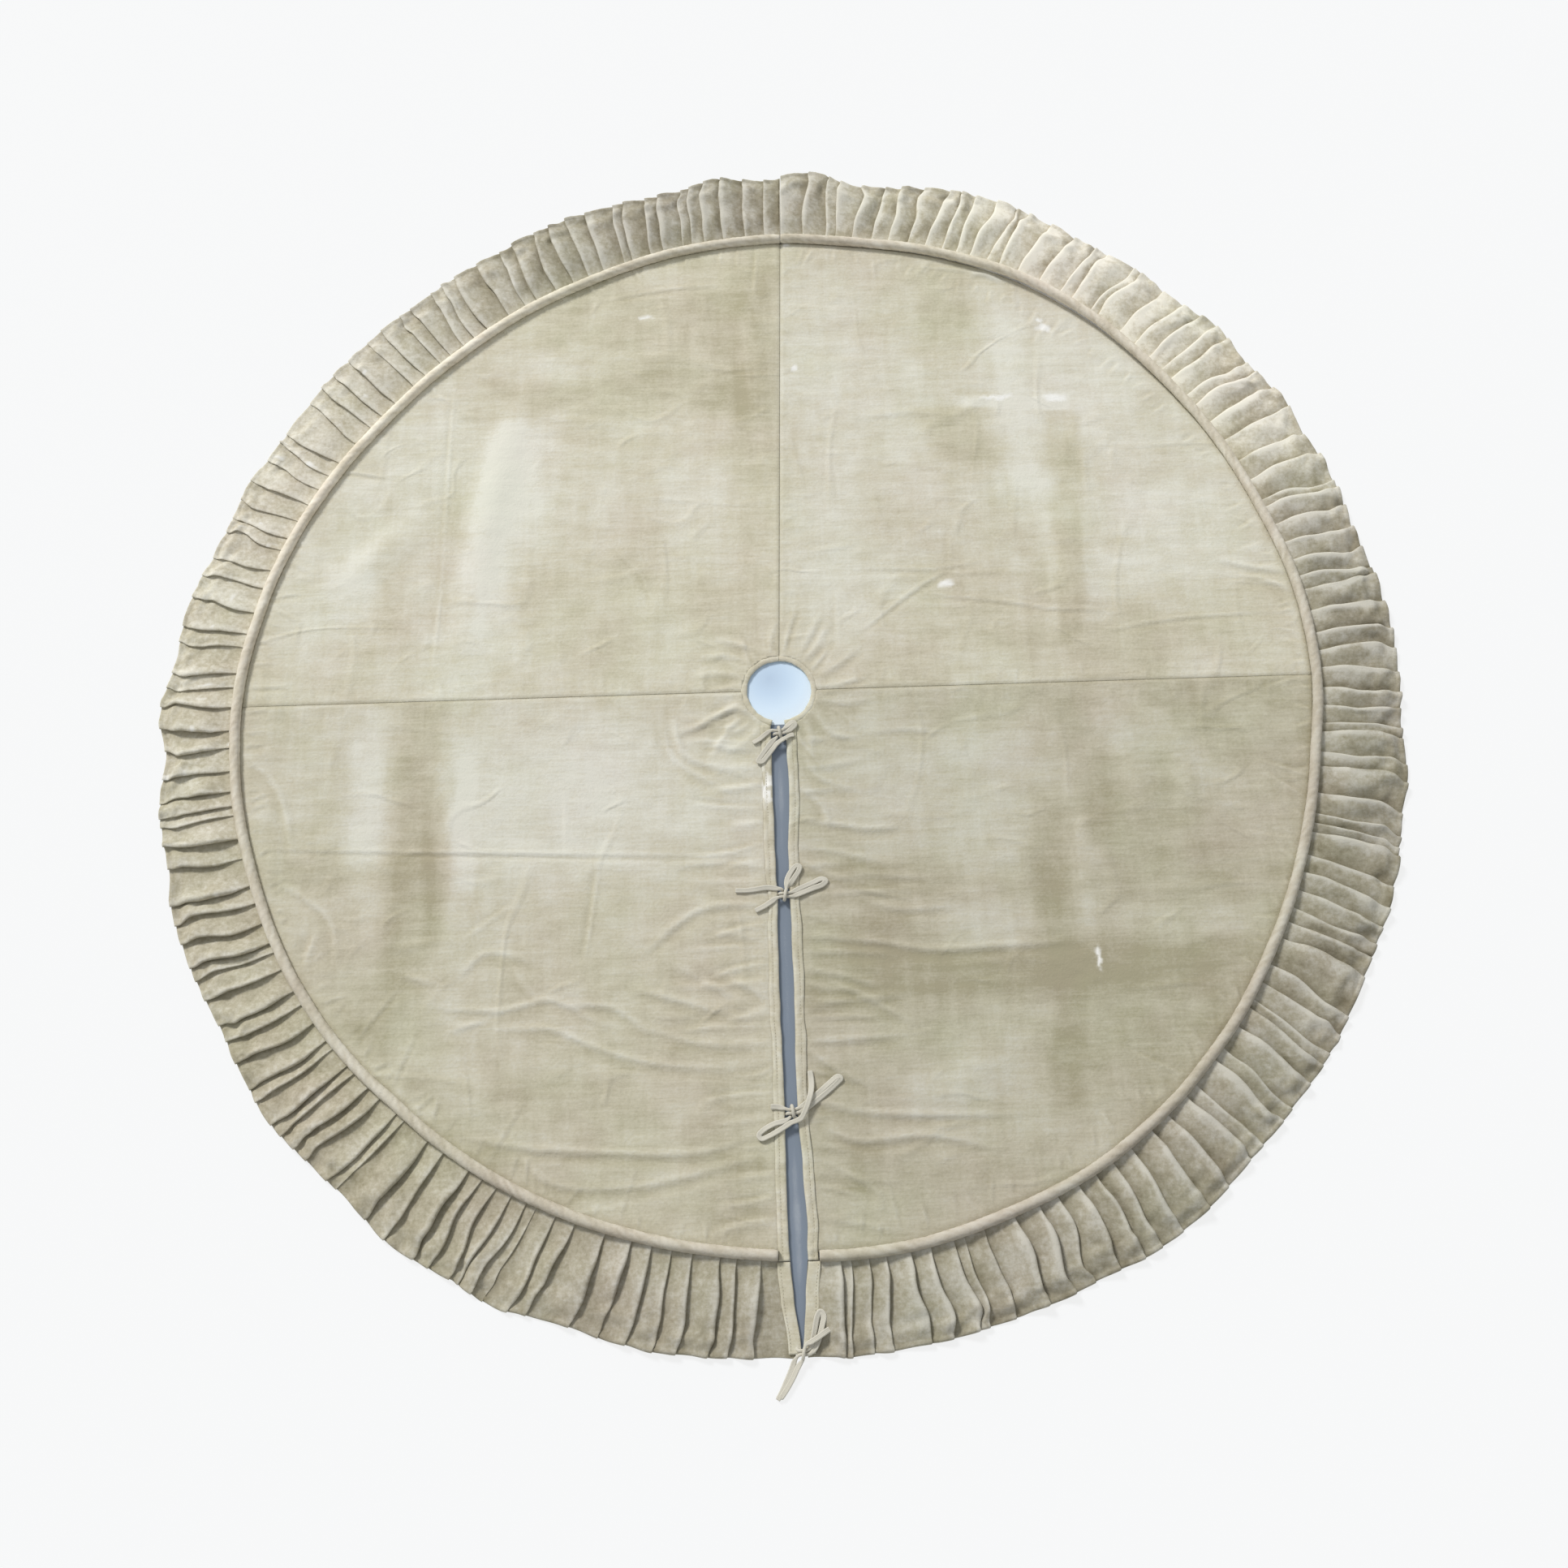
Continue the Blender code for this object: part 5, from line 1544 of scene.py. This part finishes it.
@dataclass(frozen=True)
class Studio:
    """The camera, the pale floor and the soft light from the rear left."""

    azimuth: float = -1.9
    elevation: float = 68.1
    distance: float = 2.176
    lens: float = 40.2
    shift: tuple[float, float] = (0.0031, -0.059)
    sun_azimuth: float = 125.0
    sun_elevation: float = 38.0
    sun_strength: float = 2.5
    sun_angle: float = 14.0
    sky_strength: float = 0.5
    sky_colour: tuple[float, float, float, float] = (0.95, 0.975, 1.0, 1)
    key_colour: tuple[float, float, float] = (1.0, 0.985, 0.96)
    floor_reach: float = 60.0
    floor_roughness: float = 0.9
    # The floor's colour and glow at each distance from the cool spot's middle, and the strip below the slit: half its
    # width, its front end and its rear end, with how far off cloth still shades it. All in metres.
    floor_tones: tuple[tuple[float, str], ...] = (
        (0.0, "BED1E6"), (0.022, "CBDFF3"), (0.042, "DBEDFD"), (0.06, "E3F0FB"), (0.085, "F8F9F9"), (0.68, "F8F9F9"),
        (0.74, "6A6C70"),
    )
    floor_glows: tuple[tuple[float, str], ...] = (
        (0.0, "000000"), (0.68, "000000"), (0.74, "E6E6E5"),
    )
    cool_spot: tuple[float, float, float] = (-0.012, 0.018, 0.0)
    strip: tuple[float, float, float] = (0.03, -0.766, -0.044)
    shade_reach: float = 0.05
    shade_samples: int = 48
    shade_range: tuple[float, float] = (0.995, 0.925)
    # Painted shade: the cool grey and faint glow that the strip below the slit takes where cloth stands close.
    slit_tone: str = "7F8996"
    slit_glow: str = "14171C"

    def direction(self, azimuth: float, elevation: float) -> Vector:
        """A unit vector towards a compass angle (0 is the front) and a height angle, in degrees."""
        a, e = math.radians(azimuth), math.radians(elevation)
        return Vector((math.sin(a) * math.cos(e), -math.cos(a) * math.cos(e), math.sin(e)))

    def build_camera(self) -> None:
        """The camera, looking at the middle of the hole."""
        lens = bpy.data.cameras.new("camera")
        lens.lens = self.lens
        lens.shift_x, lens.shift_y = self.shift
        camera = bpy.data.objects.new("camera", lens)
        away = self.direction(self.azimuth, self.elevation)
        camera.location = away * self.distance
        camera.rotation_euler = (-away).to_track_quat("-Z", "Y").to_euler()
        bpy.context.scene.collection.objects.link(camera)
        bpy.context.scene.camera = camera

    def build_lights(self) -> None:
        """A wide soft key and an even sky."""
        key = bpy.data.lights.new("key", "SUN")
        key.energy = self.sun_strength
        key.angle = math.radians(self.sun_angle)
        key.color = self.key_colour
        lamp = bpy.data.objects.new("key", key)
        a, e = math.radians(self.sun_azimuth), math.radians(self.sun_elevation)
        towards = Vector((math.cos(a) * math.cos(e), math.sin(a) * math.cos(e), math.sin(e)))
        lamp.rotation_euler = towards.to_track_quat("Z", "Y").to_euler()
        bpy.context.scene.collection.objects.link(lamp)
        world = bpy.data.worlds.new("sky")
        world.use_nodes = True
        sky = world.node_tree.nodes["Background"]
        sky.inputs["Color"].default_value = self.sky_colour
        sky.inputs["Strength"].default_value = self.sky_strength
        bpy.context.scene.world = world
        bpy.context.scene.view_settings.view_transform = "Standard"

    def paint(self, name: str) -> tuple[bpy.types.Material, bpy.types.NodeTree, list[tuple]]:
        """A pale matt paint for the floor.

        Pale paint: in full light it is one even white, a little cooler in the trunk hole. Past the skirt's rim it
        glows, so that the skirt throws hardly any shadow there.

        Args:
            name: The material's name.

        Returns:
            The material, its tree, and its two shader sockets with the colours that feed them.
        """
        paint, tree, shader = new_material(name)
        place = add_node(tree, "ShaderNodeTexCoord")
        away = add_node(tree, "ShaderNodeVectorMath", {1: self.cool_spot}, {0: place.outputs["Object"]},
                        operation="DISTANCE")
        coats = []
        for socket, tones in (("Base Color", self.floor_tones), ("Emission Color", self.floor_glows)):
            ramp = add_node(tree, "ShaderNodeValToRGB", links={"Fac": away.outputs["Value"]})
            steps = ramp.color_ramp.elements
            steps.remove(steps[1])
            for number, (position, tone) in enumerate(tones):
                step = steps[0] if number == 0 else steps.new(position)
                step.position = position
                step.color = linear(tone)
            tree.links.new(ramp.outputs["Color"], shader.inputs[socket])
            coats.append((shader.inputs[socket], ramp.outputs["Color"]))
        shader.inputs["Roughness"].default_value = self.floor_roughness
        shader.inputs["Specular IOR Level"].default_value = 0.1
        shader.inputs["Emission Strength"].default_value = 1.0
        return paint, tree, coats

    def build_floor(self) -> None:
        """A plain pale floor, with a strip below the slit that takes a painted cool shade while cloth stands close to
        it.
        """
        shape = bmesh.new()
        bmesh.ops.create_grid(shape, x_segments=1, y_segments=1, size=self.floor_reach)
        reach, front, back = self.strip
        for place, square in (((-reach, 0, 0), (1, 0, 0)), ((reach, 0, 0), (1, 0, 0)),
                              ((0, front, 0), (0, 1, 0)), ((0, back, 0), (0, 1, 0))):
            bmesh.ops.bisect_plane(shape, geom=[*shape.verts, *shape.edges, *shape.faces], plane_co=place,
                                   plane_no=square)
        for face in shape.faces:
            middle = face.calc_center_median()
            face.material_index = int(abs(middle.x) < reach and front < middle.y < back)
        mesh = bpy.data.meshes.new("studio_floor")
        shape.to_mesh(mesh)
        shape.free()
        mesh.materials.append(self.paint("matt_white_floor_paint")[0])
        shaded, tree, coats = self.paint("matt_white_floor_paint_below_slit")
        cover = add_node(tree, "ShaderNodeAmbientOcclusion", {"Distance": self.shade_reach},
                         samples=self.shade_samples)
        clear, full = self.shade_range
        shade = add_node(tree, "ShaderNodeMapRange", {1: clear, 2: full}, {0: cover.outputs["AO"]})
        for (socket, colour), in_slit in zip(coats, (self.slit_tone, self.slit_glow)):
            mix = add_node(tree, "ShaderNodeMix", data_type="RGBA", links={0: shade.outputs[0], 6: colour})
            mix.inputs[7].default_value = linear(in_slit)
            tree.links.new(mix.outputs[2], socket)
        mesh.materials.append(shaded)
        floor = bpy.data.objects.new("studio_floor", mesh)
        bpy.context.scene.collection.objects.link(floor)


def main() -> None:
    """Builds the studio and the skirt, and reports each piece."""
    logging.basicConfig(level=logging.INFO, format="%(message)s")
    studio = Studio()
    studio.build_camera()
    studio.build_lights()
    studio.build_floor()
    workshop = Workshop()
    relief = Relief()
    parts = [Tie(number, half) for number in range(1, len(BOWS) + 1) for half in HALVES]
    parts += [DiscPanel(quarter, relief) for quarter in QUARTERS]
    for kind in (Welt, Ruffle, HoleBinding, SlitBinding):
        parts += [kind(half) for half in HALVES]
    for part in parts:
        for piece in part.build(workshop):
            logging.info("%s: %d faces", piece.name, len(piece.data.polygons))


if __name__ == "__main__":
    main()
